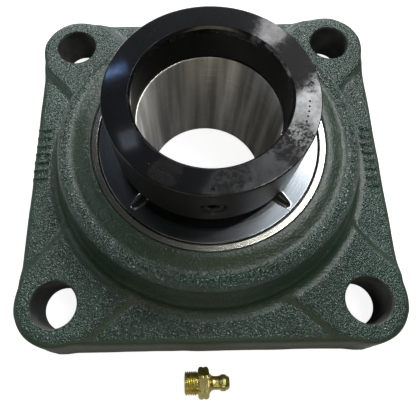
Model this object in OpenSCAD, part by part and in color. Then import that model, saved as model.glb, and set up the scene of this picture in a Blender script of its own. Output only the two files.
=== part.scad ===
// Square four-bolt flange bearing unit with a spherical-seat insert, an eccentric locking collar
// and a loose grease nipple. Origin: centre of the bolt pattern on the mounting face, +Z along the
// shaft towards the collar, -Y towards the set screw.

/* [Flange] */
// Bolt hole spacing, centre to centre, both ways
bolt_spacing = 130; // [128:0.5:132]
// Bolt hole diameter
bolt_hole_d = 19; // [17:0.5:20]
// Flange thickness at the bolt pads
flange_t = 20; // [19:0.5:22]
// Depth of the web between the bolt pads below the pad tops
pad_step = 2; // [1:0.5:3]
// Half width of the diagonal bolt pads
pad_half_w = 20; // [19:0.5:22]
// Radius of the bolt lobes at the pad tops
lobe_top_r = 17; // [16:0.5:18]
// Radius of the bolt lobes at the mounting face
lobe_base_r = 19; // [18.5:0.5:19.5]
// Half width across the straight edges at the pad tops
edge_half = 81; // [79:0.5:82]
// Draft angle of the straight edges, in degrees
edge_draft = 8.5; // [6:0.5:9]

/* [Boss and seat] */
// Boss radius where it meets the flange
boss_base_r = 70.5; // [69:0.5:72]
// Boss radius at the shoulder crest
boss_crest_r = 60; // [59:0.5:61]
// Height of the boss above the mounting face
boss_h = 41.6; // [41.4:0.1:42]
// Height of the spherical seat's centre
seat_z = 28.3; // [28:0.1:28.5]
// Running clearance of the spherical seat
seat_clear = 0.08; // [0.06:0.01:0.1]
// Radius of the opening in the mounting face
back_opening_r = 45; // [44:0.5:46]
// Width of the two loading slots
slot_w = 25.6; // [25.4:0.1:26]
// Radius of the grease port's thread bore
port_r = 4.3; // [4.2:0.05:4.4]

/* [Bearing insert] */
// Shaft bore diameter
shaft_d = 55; // [50:0.5:55]
// Outer ring diameter
outer_d = 100; // [99.9:0.05:100.05]
// Outer ring width
outer_w = 25; // [24.6:0.1:25]
// Inner ring land radius
land_r = 34.5; // [34.4:0.1:34.6]
// Height of the inner ring's back end above the mounting face
inner_back_z = 0.5; // [0.2:0.1:1]
// Height of the inner ring's cam end above the mounting face
inner_front_z = 56; // [55:0.1:56]
// Ball diameter
ball_d = 14.288; // [14.1:0.001:14.3]
// Ball pitch circle diameter
pitch_d = 77.5; // [77.4:0.05:77.6]
// Number of balls
ball_count = 10; // [10:1:10]

/* [Locking collar] */
// Collar outer diameter
collar_d = 76.2; // [74:0.1:78]
// Height of the collar's near face above the mounting face
collar_near_z = 48; // [47.9:0.1:48.5]
// Height of the collar's end face above the mounting face
collar_end_z = 71.9; // [71:0.1:73]
// Collar bore radius
collar_bore_r = 28; // [27.9:0.1:28.4]
// Eccentricity of the cam and of the collar's recess
cam_ecc = 0.9; // [0.8:0.05:1]
// Radius of the inner ring's cam
cam_r = 32.4; // [32.2:0.1:32.6]
// Radial clearance between the cam and the recess
cam_clear = 0.3; // [0.25:0.05:0.35]
// Set screw thread diameter
screw_d = 8; // [6:1:10]

/* [Grease nipple] */
// Distance of the loose nipple in front of the bearing axis
nipple_y = 96.5; // [95:0.5:110]
// Place of the nipple's thread end along X
nipple_x = -11.5; // [-20:0.5:0]
// Width of the nipple's hexagon across flats
nipple_af = 11; // [10:0.5:12]

/* [Hidden] */
ball_names = [for (i = [1:ball_count]) str("ball_", i < 10 ? "0" : "", i)];
$fn = 96;
eps = 0.5;

bolt_half = bolt_spacing / 2;
web_t = flange_t - pad_step;
edge_base = edge_half + flange_t * tan(edge_draft);
corner_sum = 2 * bolt_half + 20;
seat_r = outer_d / 2 + seat_clear;
slot_r = outer_d / 2 + 0.3;
port_z = 33;
port_mouth_y = 66.5;
port_depth = 10;
groove_z = 34.9;
groove_w = 3;
groove_depth = 1.2;

outer_r = outer_d / 2;
shaft_r = shaft_d / 2;
ball_r = ball_d / 2;
pitch_r = pitch_d / 2;
race_clear = 0.06;
race_r = 0.52 * ball_d;
outer_race_centre = pitch_r + ball_r + race_clear - race_r;
inner_race_centre = pitch_r - ball_r - race_clear + race_r;
shoulder_r = 42.3;
recess_r = 45.9;
recess_h = 8.8;
ball_step = 360 / ball_count;

cage_in_r = 37;
cage_out_r = 40.5;
cage_t = 0.9;
pocket_r = ball_r + 0.16;
rivet_r = 0.8;

seal_h = 8.85;
slinger_top = 12.2;
slinger_t = 0.7;
slinger_r = 45.2;
rib_in_r = 37.6;
rib_out_r = 42.4;
rib_r = 1.3;
rib_sink = 0.5;

cam_base_z = 47.5;
recess_top_z = 56.6;
screw_z = (collar_near_z + collar_end_z) / 2;
screw_tip_y = collar_bore_r + 0.2;
screw_len = 9.4;
screw_r = screw_d / 2 - 0.05;
screw_socket_af = 4;

nipple_z = nipple_af / 2;
nipple_len = 18.8;
nipple_thread_r = 4.865;
nipple_bore_r = 1.75;
check_ball_r = 1.5;
check_ball_at = 16.98;
spring_wire_r = 0.2;
spring_mean_r = 1.35;
spring_start = 2.65;
spring_end = 15.2;
spring_turns = 8;
spring_steps = 10;
spring_sides = 5;

// Points of an arc from angle a0 to angle a1 about [cx, cy].
function arc(cx, cy, r, a0, a1, n) =
    [for (i = [0:n]) let (a = a0 + (a1 - a0) * i / n) [cx + r * cos(a), cy + r * sin(a)]];

// Ring of rectangular section.
module tube(r_in, r_out, z0, z1) {
    translate([0, 0, z0]) difference() {
        cylinder(r = r_out, h = z1 - z0);
        translate([0, 0, -eps]) cylinder(r = r_in, h = z1 - z0 + 2 * eps);
    }
}

// Puts its children at every ball or, with a half step, between the balls.
module at_balls(half_step = 0) {
    for (i = [0:ball_count - 1]) rotate((i + half_step) * ball_step) translate([pitch_r, 0, 0]) children();
}

// Stands its children on the seat's centre plane, facing up (side = 1) or down (side = -1).
module seat_side(side) {
    translate([0, 0, seat_z]) mirror([0, 0, side > 0 ? 0 : 1]) children();
}

// ---- housing ----

module lobes() {
    for (x = [-bolt_half, bolt_half], y = [-bolt_half, bolt_half])
        translate([x, y, 0]) cylinder(r1 = lobe_base_r, r2 = lobe_top_r, h = flange_t);
}

module edge_plate(h) {
    difference() {
        translate([-edge_base, -edge_base, 0]) cube([2 * edge_base, 2 * edge_base, h]);
        for (a = [0:90:270]) rotate(a) {
            translate([edge_base, -edge_base - eps, 0]) rotate([0, -edge_draft, 0])
                translate([0, 0, -20]) cube([40, 2 * edge_base + 2 * eps, 80]);
            rotate(45) translate([corner_sum / sqrt(2), -60, -eps]) cube([60, 120, h + 2 * eps]);
        }
    }
}

module bolt_pads() {
    intersection() {
        edge_plate(flange_t);
        for (a = [45, 135]) rotate(a)
            translate([-140, -pad_half_w, web_t / 2]) cube([280, 2 * pad_half_w, flange_t]);
    }
}

module boss_solid() {
    rotate_extrude() polygon(concat(
        [[0, 2], [boss_base_r, 2], [boss_base_r, web_t]],
        arc(boss_base_r + 1, web_t + 4, 4, 255, 195, 4),
        [[boss_base_r - 5.2, web_t + 10.5], [boss_crest_r + 3, web_t + 18.5]],
        arc(boss_crest_r + 0.2, web_t + 18.6, 3, 10, 85, 4),
        [[boss_crest_r - 5, boss_h - 0.9], [seat_r + 0.6, boss_h], [0, boss_h]]));
}

module grease_port() {
    rotate([-90, 0, 0]) {
        translate([0, -port_z, port_mouth_y - port_depth]) cylinder(r = port_r, h = port_depth + eps);
        translate([0, -port_z, port_mouth_y - 0.8]) cylinder(r1 = port_r, r2 = port_r + 0.9, h = 0.9);
        translate([0, -port_z, outer_r - 1]) cylinder(r = 1.5, h = port_mouth_y - port_depth - outer_r + 2);
    }
}

module housing() color("darkslategray") difference() {
    union() {
        lobes();
        edge_plate(web_t);
        bolt_pads();
        boss_solid();
        translate([0, outer_r + 3, port_z]) rotate([-90, 0, 0]) cylinder(r = 7.5, h = port_mouth_y - outer_r - 3);
    }
    translate([0, 0, seat_z]) sphere(r = seat_r);
    translate([0, 0, -eps]) cylinder(r = back_opening_r, h = 12);
    intersection() {
        translate([0, 0, -eps]) cylinder(r = slot_r, h = seat_z + eps);
        translate([-slot_r - eps, -slot_w / 2, -2 * eps]) cube([2 * slot_r + 2 * eps, slot_w, seat_z + 3 * eps]);
    }
    tube(outer_r - 4, outer_r + groove_depth, groove_z - groove_w / 2, groove_z + groove_w / 2);
    grease_port();
    for (x = [-bolt_half, bolt_half], y = [-bolt_half, bolt_half])
        translate([x, y, -eps]) cylinder(d = bolt_hole_d, h = flange_t + 2 * eps);
}

// ---- bearing insert ----

module outer_ring() color("silver") difference() {
    intersection() {
        translate([0, 0, seat_z]) sphere(r = outer_r);
        tube(shoulder_r, outer_r + eps, seat_z - outer_w / 2, seat_z + outer_w / 2);
    }
    for (side = [-1, 1]) seat_side(side) translate([0, 0, recess_h]) cylinder(r = recess_r, h = outer_w);
    translate([0, 0, seat_z]) rotate_extrude() translate([outer_race_centre, 0]) circle(r = race_r);
    for (a = [0, 180]) rotate(a) translate([shoulder_r - 1, 0, seat_z + 7.4]) rotate([0, 90, 0])
        cylinder(r = 0.9, h = 10);
}

module inner_ring() color("silver") difference() {
    union() {
        rotate_extrude() polygon([[shaft_r - 2, inner_back_z], [land_r - 0.6, inner_back_z],
            [land_r, inner_back_z + 0.6], [land_r, cam_base_z - 0.4], [land_r - 0.4, cam_base_z],
            [shaft_r - 2, cam_base_z]]);
        translate([cam_ecc, 0, cam_base_z - 1]) cylinder(r = cam_r, h = inner_front_z - cam_base_z + 1);
    }
    translate([0, 0, inner_back_z - eps]) cylinder(r = shaft_r, h = inner_front_z);
    translate([0, 0, inner_back_z - 0.01]) cylinder(r1 = shaft_r + 0.71, r2 = shaft_r, h = 0.71);
    translate([0, 0, inner_front_z - 0.6]) cylinder(r1 = shaft_r, r2 = shaft_r + 0.61, h = 0.61);
    translate([0, 0, seat_z]) rotate_extrude() translate([inner_race_centre, 0]) circle(r = race_r);
}

module ball(index) color("gainsboro")
    rotate(index * ball_step) translate([pitch_r, 0, seat_z]) sphere(r = ball_r);

module cage_half(side) color("lightsteelblue") seat_side(side) difference() {
    intersection() {
        union() {
            at_balls() sphere(r = pocket_r + cage_t);
            tube(cage_in_r, cage_out_r, 0, cage_t);
        }
        tube(cage_in_r, cage_out_r, 0, pocket_r + cage_t + eps);
    }
    at_balls() sphere(r = pocket_r);
    at_balls(0.5) translate([0, 0, -eps]) cylinder(r = rivet_r + 0.03, h = cage_t + 2 * eps);
}

module cage_rivets() color("lightsteelblue") translate([0, 0, seat_z]) at_balls(0.5) {
    translate([0, 0, -cage_t - 0.3]) cylinder(r = rivet_r, h = 2 * cage_t + 0.6);
    for (z = [-cage_t - 0.53, cage_t + 0.03]) translate([0, 0, z]) cylinder(r = 1.4, h = 0.5);
}

module seal_shell(side) color("dimgray") seat_side(side) rotate_extrude() polygon([
    [36, seal_h], [recess_r - 0.05, seal_h], [recess_r - 0.05, seal_h + 1.7], [recess_r - 0.75, seal_h + 1.7],
    [recess_r - 0.75, seal_h + 0.6], [36, seal_h + 0.6]]);

module seal_lip(side) color("black") seat_side(side) rotate_extrude() polygon([
    [land_r + 0.1, seal_h + 1.1], [land_r + 0.6, seal_h + 0.05], [35.95, seal_h + 0.05],
    [35.95, seal_h + 0.65], [38, seal_h + 0.65], [38, seal_h + 1.1], [35.6, seal_h + 1.3]]);

module slinger(side) color("slategray") seat_side(side) difference() {
    union() {
        rotate_extrude() polygon([
            [land_r + 0.03, slinger_top - 1.5], [land_r + 0.8, slinger_top - 1.5],
            [land_r + 0.8, slinger_top - slinger_t], [slinger_r - 1.6, slinger_top - slinger_t],
            [slinger_r - 0.7, slinger_top - 1.4], [slinger_r, slinger_top - 1.3],
            [slinger_r - 1.1, slinger_top], [land_r + 0.03, slinger_top]]);
        for (a = [45:90:315]) rotate(a) translate([0, 0, slinger_top - rib_sink]) {
            translate([rib_in_r, 0, 0]) rotate([0, 90, 0]) cylinder(r = rib_r, h = rib_out_r - rib_in_r, $fn = 32);
            for (x = [rib_in_r, rib_out_r]) translate([x, 0, 0]) sphere(r = rib_r, $fn = 32);
        }
    }
    translate([0, 0, slinger_top - slinger_t - 3]) difference() {
        cylinder(r = slinger_r - 2, h = 3);
        translate([0, 0, -eps]) cylinder(r = land_r + 2, h = 3 + 2 * eps);
    }
}

// ---- locking collar ----

module locking_collar() color("black") difference() {
    rotate_extrude() polygon([[collar_bore_r, collar_near_z], [collar_d / 2 - 0.8, collar_near_z],
        [collar_d / 2, collar_near_z + 0.8], [collar_d / 2, collar_end_z - 0.7],
        [collar_d / 2 - 0.7, collar_end_z], [collar_bore_r + 1, collar_end_z],
        [collar_bore_r, collar_end_z - 1]]);
    translate([cam_ecc, 0, collar_near_z - eps])
        cylinder(r = cam_r + cam_clear, h = recess_top_z - collar_near_z + eps);
    translate([0, 0, screw_z]) rotate([90, 0, 0]) cylinder(r = screw_d / 2 + 0.05, h = collar_d);
    translate([0, collar_d / 2 - 6, screw_z]) rotate([-90, 0, 0]) cylinder(r = 3, h = 8);
    translate([0, -collar_bore_r - 7.8, collar_end_z + 0.3]) sphere(r = 0.9);
}

module set_screw() color("dimgray") translate([0, -screw_tip_y, screw_z]) rotate([90, 0, 0]) difference() {
    rotate_extrude() polygon([[0, 0.9], [1.2, 0], [screw_r - 1.1, 0], [screw_r, 1.1],
        [screw_r, screw_len - 0.5], [screw_r - 0.5, screw_len], [0, screw_len]]);
    translate([0, 0, screw_len - 4.5]) cylinder(d = screw_socket_af / cos(30), h = 5, $fn = 6);
}

// ---- grease nipple, along +Z from the thread end to the tip ----

module lay_nipple() {
    translate([nipple_x, -nipple_y, nipple_z]) rotate([0, 90, 0]) children();
}

function thread_teeth(r, z0, pitch, n) =
    [for (i = [0:n - 1], p = [[r - 0.55, 0.08], [r, 0.42], [r, 0.58], [r - 0.55, 0.92]])
        [p[0] - 0.03 * (n - i), z0 + (i + p[1]) * pitch]];

module nipple_blank() {
    rotate_extrude() polygon(concat([[0, 0], [nipple_thread_r - 0.9, 0]],
        thread_teeth(nipple_thread_r, 0.3, 0.907, 5),
        [[nipple_thread_r - 0.5, 5.2], [nipple_thread_r - 0.5, 6], [0, 6]]));
    intersection() {
        translate([0, 0, 5.7]) rotate(30) cylinder(d = nipple_af / cos(30), h = 4.6, $fn = 6);
        rotate_extrude() polygon([[0, 5.7], [5.6, 5.7], [6.5, 6.3], [6.5, 7.5], [5.75, 8], [6.5, 8.5],
            [6.5, 9.7], [5.4, 10.3], [0, 10.3]]);
    }
    rotate_extrude() polygon(concat([[0, 10], [4.2, 10], [4.2, 10.3]], arc(5, 12.6, 2.3, 255, 180, 5),
        [[2.7, 14.6], [3.35, 15.9], [3.35, 16.8], [2.2, nipple_len], [0, nipple_len]]));
}

module grease_nipple() color("goldenrod") lay_nipple() difference() {
    nipple_blank();
    rotate_extrude() polygon([[0, -eps], [1, -eps], [1, 2.4], [nipple_bore_r, 2.4], [nipple_bore_r, 17.2],
        [1.15, 18], [1.15, nipple_len + eps], [0, nipple_len + eps]]);
}

module nipple_check_ball() color("silver")
    lay_nipple() translate([0, 0, check_ball_at]) sphere(r = check_ball_r, $fn = 48);

function coil_point(i, j) =
    let (turn = i / spring_steps, a = 360 * turn, b = 360 * j / spring_sides,
        r = spring_mean_r + spring_wire_r * cos(b))
    [r * cos(a), r * sin(a),
        spring_start + (spring_end - spring_start) * turn / spring_turns + spring_wire_r * sin(b)];

module nipple_spring() color("silver") lay_nipple() {
    rings = spring_turns * spring_steps;
    polyhedron(
        points = [for (i = [0:rings], j = [0:spring_sides - 1]) coil_point(i, j)],
        faces = concat(
            [[for (j = [0:spring_sides - 1]) j]],
            [for (i = [0:rings - 1], j = [0:spring_sides - 1], half = [0, 1])
                let (k = (j + 1) % spring_sides, a = i * spring_sides, b = a + spring_sides)
                half == 0 ? [a + j, b + j, b + k] : [a + j, b + k, a + k]],
            [[for (j = [spring_sides - 1:-1:0]) rings * spring_sides + j]]));
}

housing();
outer_ring();
inner_ring();
for (i = [0:ball_count - 1]) ball(i);
cage_half(1);  // cage_upper
cage_half(-1);  // cage_lower
cage_rivets();
seal_shell(1);  // seal_shell_upper
seal_shell(-1);  // seal_shell_lower
seal_lip(1);  // seal_lip_upper
seal_lip(-1);  // seal_lip_lower
slinger(1);  // slinger_upper
slinger(-1);  // slinger_lower
locking_collar();
set_screw();
grease_nipple();
nipple_check_ball();
nipple_spring();
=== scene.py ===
"""Looks of a square four-bolt flange bearing unit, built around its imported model.

Lengths are in millimetres until a mesh is made; meshes are in metres. Angles are in degrees where a
name says so and in radians elsewhere.
"""

import functools
import logging
import math
from dataclasses import dataclass, field
from enum import Enum

import bmesh
import bpy
import numpy as np
from mathutils import Euler, Matrix, Vector


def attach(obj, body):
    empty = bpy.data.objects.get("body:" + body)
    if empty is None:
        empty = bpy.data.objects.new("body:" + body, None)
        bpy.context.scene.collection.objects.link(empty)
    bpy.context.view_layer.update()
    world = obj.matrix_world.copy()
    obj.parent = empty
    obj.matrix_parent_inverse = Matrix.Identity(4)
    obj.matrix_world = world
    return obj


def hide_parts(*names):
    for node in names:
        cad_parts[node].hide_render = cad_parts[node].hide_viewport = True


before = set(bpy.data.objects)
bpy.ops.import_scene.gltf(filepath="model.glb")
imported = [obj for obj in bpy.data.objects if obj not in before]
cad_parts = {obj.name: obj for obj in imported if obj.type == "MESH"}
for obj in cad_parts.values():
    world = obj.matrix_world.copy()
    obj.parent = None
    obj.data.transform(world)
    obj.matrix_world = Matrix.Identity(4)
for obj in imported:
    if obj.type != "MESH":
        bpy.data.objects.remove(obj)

LOG = logging.getLogger("flange_bearing")
MM = 0.001
TURN = 2.0 * math.pi


# ---------------------------------------------------------------- shape helpers


def smoothstep(low: float, high: float, value: np.ndarray) -> np.ndarray:
    """Ease from 0 at low to 1 at high by the cubic 3t^2 - 2t^3.

    Args:
        low: Value where the result leaves 0; may be larger than high.
        high: Value where the result reaches 1.
        value: Array to ease.

    Returns:
        Array of the same shape, between 0 and 1.
    """
    t = np.clip((value - low) / (high - low), 0.0, 1.0)
    return t * t * (3.0 - 2.0 * t)


def smooth_max(a: np.ndarray, b: np.ndarray, width: float) -> np.ndarray:
    """Larger of two arrays, with a parabolic blend where they are within width of each other.

    Args:
        a: First array.
        b: Second array.
        width: Difference below which the two blend.

    Returns:
        Blended maximum.
    """
    mix = np.clip(0.5 + 0.5 * (a - b) / width, 0.0, 1.0)
    return b * (1.0 - mix) + a * mix + width * mix * (1.0 - mix)


def lattice_noise(points: np.ndarray, cell: float, seed: int) -> np.ndarray:
    """Smooth noise: a random value at each corner of a cubic lattice, blended by smoothstep weights.

    Args:
        points: Array of shape (..., 3).
        cell: Edge of a lattice cube.
        seed: Seed of the random table.

    Returns:
        Array of shape (...), between -1 and 1.
    """
    table = np.random.default_rng(seed).uniform(-1.0, 1.0, 4096)
    scaled = points / cell
    base = np.floor(scaled).astype(np.int64)
    part = scaled - base
    weight = part * part * (3.0 - 2.0 * part)
    total = np.zeros(points.shape[:-1])
    for corner in np.ndindex(2, 2, 2):
        spot = base + np.array(corner)
        key = (spot[..., 0] * 73856093) ^ (spot[..., 1] * 19349663) ^ (spot[..., 2] * 83492791)
        share = np.prod(np.where(np.array(corner) == 1, weight, 1.0 - weight), axis=-1)
        total += share * table[key & 4095]
    return total


def arc(centre: tuple[float, float], radius: float, start: float, end: float, steps: int) -> np.ndarray:
    """Points of a circular arc in the profile plane.

    Args:
        centre: Radius and height of the arc's centre.
        radius: Arc radius.
        start: First angle in degrees.
        end: Last angle in degrees.
        steps: Number of pieces.

    Returns:
        Array of shape (steps + 1, 2).
    """
    angle = np.radians(np.linspace(start, end, steps + 1))
    return np.array(centre) + radius * np.stack([np.cos(angle), np.sin(angle)], axis=-1)


def rounded(corners: list[tuple[float, float, float]], step: float = 2.0, closed: bool = True) -> np.ndarray:
    """Profile through corners, each rounded by a fillet, with rows close to both ends of each straight.

    Each fillet is the circle of the given radius tangent to the two straights that meet in the corner.

    Args:
        corners: Radius, height and fillet radius of each corner.
        step: Longest spacing of points along a straight.
        closed: Whether the last corner joins the first.

    Returns:
        Array of shape (n, 2).
    """
    spots = np.array([c[:2] for c in corners], dtype=float)
    count = len(corners)
    ends = []
    for i, (_, _, fillet) in enumerate(corners):
        if fillet <= 0.0 or (not closed and i in (0, count - 1)):
            ends.append(spots[i][None, :])
            continue
        back = spots[i - 1] - spots[i]
        ahead = spots[(i + 1) % count] - spots[i]
        back = back / np.linalg.norm(back)
        ahead = ahead / np.linalg.norm(ahead)
        half = 0.5 * math.acos(float(np.clip(back @ ahead, -1.0, 1.0)))
        reach = fillet / math.tan(half)
        middle = spots[i] + (back + ahead) / np.linalg.norm(back + ahead) * fillet / math.sin(half)
        first = spots[i] + back * reach - middle
        last = spots[i] + ahead * reach - middle
        sweep = math.atan2(first[0] * last[1] - first[1] * last[0], first @ last)
        steps = max(3, math.ceil(abs(sweep) / math.radians(15.0)))
        turn = np.linspace(0.0, sweep, steps + 1)
        ends.append(middle + np.stack([first[0] * np.cos(turn) - first[1] * np.sin(turn),
                                       first[0] * np.sin(turn) + first[1] * np.cos(turn)], axis=-1))
    rows = []
    for i, bend in enumerate(ends):
        rows.append(bend)
        if i == count - 1 and not closed:
            break
        a, b = bend[-1], ends[(i + 1) % count][0]
        length = float(np.linalg.norm(b - a))
        if length > 0.5:
            inner = np.linspace(0.0, 1.0, max(1, round(length / step)) + 1)[1:-1]
            hold = min(0.15, 0.2 * length) / length
            share = np.concatenate([[hold], inner, [1.0 - hold]])
            rows.append(a + share[:, None] * (b - a))
    return np.concatenate(rows)


def turned(profile: np.ndarray, columns: int, centre: tuple[float, float] = (0.0, 0.0)) -> np.ndarray:
    """Grid of points of a profile turned about an upright axis.

    Args:
        profile: Radius and height of each row, shape (rows, 2).
        columns: Number of columns round the axis.
        centre: Place of the axis in X and Y.

    Returns:
        Array of shape (rows, columns, 3).
    """
    angle = np.linspace(0.0, TURN, columns, endpoint=False)
    radius = profile[:, 0, None]
    return np.stack([centre[0] + radius * np.cos(angle), centre[1] + radius * np.sin(angle),
                     np.broadcast_to(profile[:, 1, None], (len(profile), columns))], axis=-1)


def grid_normals(grid: np.ndarray) -> np.ndarray:
    """Unit normals of a grid that closes in both directions, from the cross product of its differences.

    Args:
        grid: Points of shape (rows, columns, 3).

    Returns:
        Normals of the same shape.
    """
    across = np.roll(grid, -1, axis=1) - np.roll(grid, 1, axis=1)
    along = np.roll(grid, -1, axis=0) - np.roll(grid, 1, axis=0)
    normal = np.cross(across, along)
    return normal / np.maximum(np.linalg.norm(normal, axis=-1, keepdims=True), 1e-9)


def thread_wave(angle: np.ndarray, height: np.ndarray, pitch: float) -> np.ndarray:
    """Flank shape of a single-start thread: a triangle wave of height minus the angle's share of pitch.

    Args:
        angle: Angle round the axis, in radians.
        height: Height along the axis.
        pitch: Thread pitch.

    Returns:
        Values from 0 at the root to 1 at the crest, with both slightly flattened.
    """
    phase = np.mod(height / pitch - angle / TURN, 1.0)
    return np.clip(1.35 * (1.0 - np.abs(2.0 * phase - 1.0)) - 0.17, 0.0, 1.0)


def hexagon_radius(angle: np.ndarray, across_flats: float) -> np.ndarray:
    """Distance from the centre to a hexagon's side, half its width over the cosine to the nearest flat.

    Args:
        angle: Angle round the axis, in radians.
        across_flats: Width across the flats.

    Returns:
        Distance at each angle.
    """
    sector = TURN / 6.0
    return 0.5 * across_flats / np.cos(np.mod(angle + 0.5 * sector, sector) - 0.5 * sector)


class Ends(Enum):
    """How a grid of rows ends."""

    JOINED = "joined"
    CAPPED = "capped"


@dataclass
class Skin:
    """A closed surface on a grid of rows and columns, whose columns run once round an axis.

    Attributes:
        name: Name of the piece.
        grid: Points in millimetres, shape (rows, columns, 3).
        ends: Whether the last row joins the first or both rows end in a pole.
        row_material: Material index of the faces above each row, or None for one material.
        fields: Named values per point, shape (rows, columns) each.
    """

    name: str
    grid: np.ndarray
    ends: Ends = Ends.JOINED
    row_material: np.ndarray | None = None
    fields: dict[str, np.ndarray] = field(default_factory=dict)

    def faces(self) -> np.ndarray:
        """Corner indices of the quads between neighbouring rows and columns.

        Returns:
            Array of shape (n, 4).
        """
        rows, columns = self.grid.shape[:2]
        top = rows if self.ends is Ends.JOINED else rows - 1
        i, j = np.meshgrid(np.arange(top), np.arange(columns), indexing="ij")
        up, side = (i + 1) % rows, (j + 1) % columns
        quads = np.stack([i * columns + j, i * columns + side, up * columns + side, up * columns + j],
                         axis=-1)
        return quads.reshape(-1, 4)

    def build(self, sharp_deg: float = 32.0) -> bpy.types.Object:
        """Make the mesh object, with its faces outwards.

        Args:
            sharp_deg: Angle between faces above which their edge is shaded sharp.

        Returns:
            The new object, linked to the scene.
        """
        rows, columns = self.grid.shape[:2]
        points = self.grid.reshape(-1, 3) * MM
        quads = self.faces()
        polygons = quads.tolist()
        if self.ends is Ends.CAPPED:
            poles = self.grid[[0, -1]].mean(axis=1) * MM
            points = np.concatenate([points, poles])
            low, high, j = rows * columns, rows * columns + 1, np.arange(columns)
            side, last = (j + 1) % columns, (rows - 1) * columns
            polygons += np.stack([side, j, np.full(columns, low)], axis=-1).tolist()
            polygons += np.stack([last + j, last + side, np.full(columns, high)], axis=-1).tolist()
        a, b, c, d = (points[quads[:, k]] for k in range(4))
        volume = np.einsum("ij,ij->i", a, np.cross(b, c) + np.cross(c, d)).sum()
        if volume < 0.0:
            polygons = [p[::-1] for p in polygons]
        mesh = bpy.data.meshes.new(self.name)
        mesh.from_pydata(points.tolist(), [], polygons)
        mesh.polygons.foreach_set("use_smooth", np.ones(len(polygons), dtype=bool))
        if self.row_material is not None:
            index = np.repeat(self.row_material[: len(quads) // columns], columns)
            mesh.polygons.foreach_set("material_index", index.astype(np.int32))
        for key, values in self.fields.items():
            layer = mesh.attributes.new(key, "FLOAT", "POINT")
            flat = np.zeros(len(points), dtype=np.float32)
            flat[: rows * columns] = values.reshape(-1)
            layer.data.foreach_set("value", flat)
        mesh.update()
        mesh.set_sharp_from_angle(angle=math.radians(sharp_deg))
        piece = bpy.data.objects.new(self.name, mesh)
        bpy.context.scene.collection.objects.link(piece)
        return piece


def joined(pieces: list[bpy.types.Object], name: str) -> bpy.types.Object:
    """Put several meshes into one object, keeping their materials' order.

    Args:
        pieces: Objects to join; they are removed.
        name: Name of the new object.

    Returns:
        The joined object.
    """
    work = bmesh.new()
    for piece in pieces:
        work.from_mesh(piece.data)
        bpy.data.objects.remove(piece)
    mesh = bpy.data.meshes.new(name)
    work.to_mesh(mesh)
    work.free()
    whole = bpy.data.objects.new(name, mesh)
    bpy.context.scene.collection.objects.link(whole)
    return whole


def placed(piece: bpy.types.Object, matrix: Matrix) -> bpy.types.Object:
    """Move a piece's mesh, so that its object stays at the origin.

    Args:
        piece: Object whose mesh is moved.
        matrix: Turn and shift, in metres.

    Returns:
        The same object.
    """
    piece.data.transform(matrix)
    piece.data.update()
    return piece


def carve(piece: bpy.types.Object, cutter: bpy.types.Object, sharp_deg: float = 32.0) -> bpy.types.Object:
    """Cut one mesh out of another for good, and remove the cutter.

    Args:
        piece: Object that is cut.
        cutter: Closed mesh that is taken away.
        sharp_deg: Angle above which an edge is shaded sharp afterwards.

    Returns:
        The cut piece.
    """
    cut = piece.modifiers.new("cut", "BOOLEAN")
    cut.object = cutter
    cut.operation = "DIFFERENCE"
    cut.solver = "EXACT"
    cut.material_mode = "TRANSFER"
    graph = bpy.context.evaluated_depsgraph_get()
    mesh = bpy.data.meshes.new_from_object(piece.evaluated_get(graph))
    piece.modifiers.clear()
    piece.data = mesh
    mesh.name = piece.name
    bpy.data.objects.remove(cutter)
    mesh.polygons.foreach_set("use_smooth", np.ones(len(mesh.polygons), dtype=bool))
    mesh.set_sharp_from_angle(angle=math.radians(sharp_deg))
    return piece


def drill(name: str, corners: list[tuple[float, float, float]], columns: int = 64) -> bpy.types.Object:
    """Solid turned about Z from a profile that starts and ends on the axis, used as a cutter.

    Args:
        name: Name of the cutter.
        corners: Radius, height and fillet radius of each corner off the axis.
        columns: Number of sides.

    Returns:
        The cutter object.
    """
    return Skin(name, turned(rounded(corners, closed=False), columns), Ends.CAPPED).build()


# ---------------------------------------------------------------- shader helpers


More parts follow.
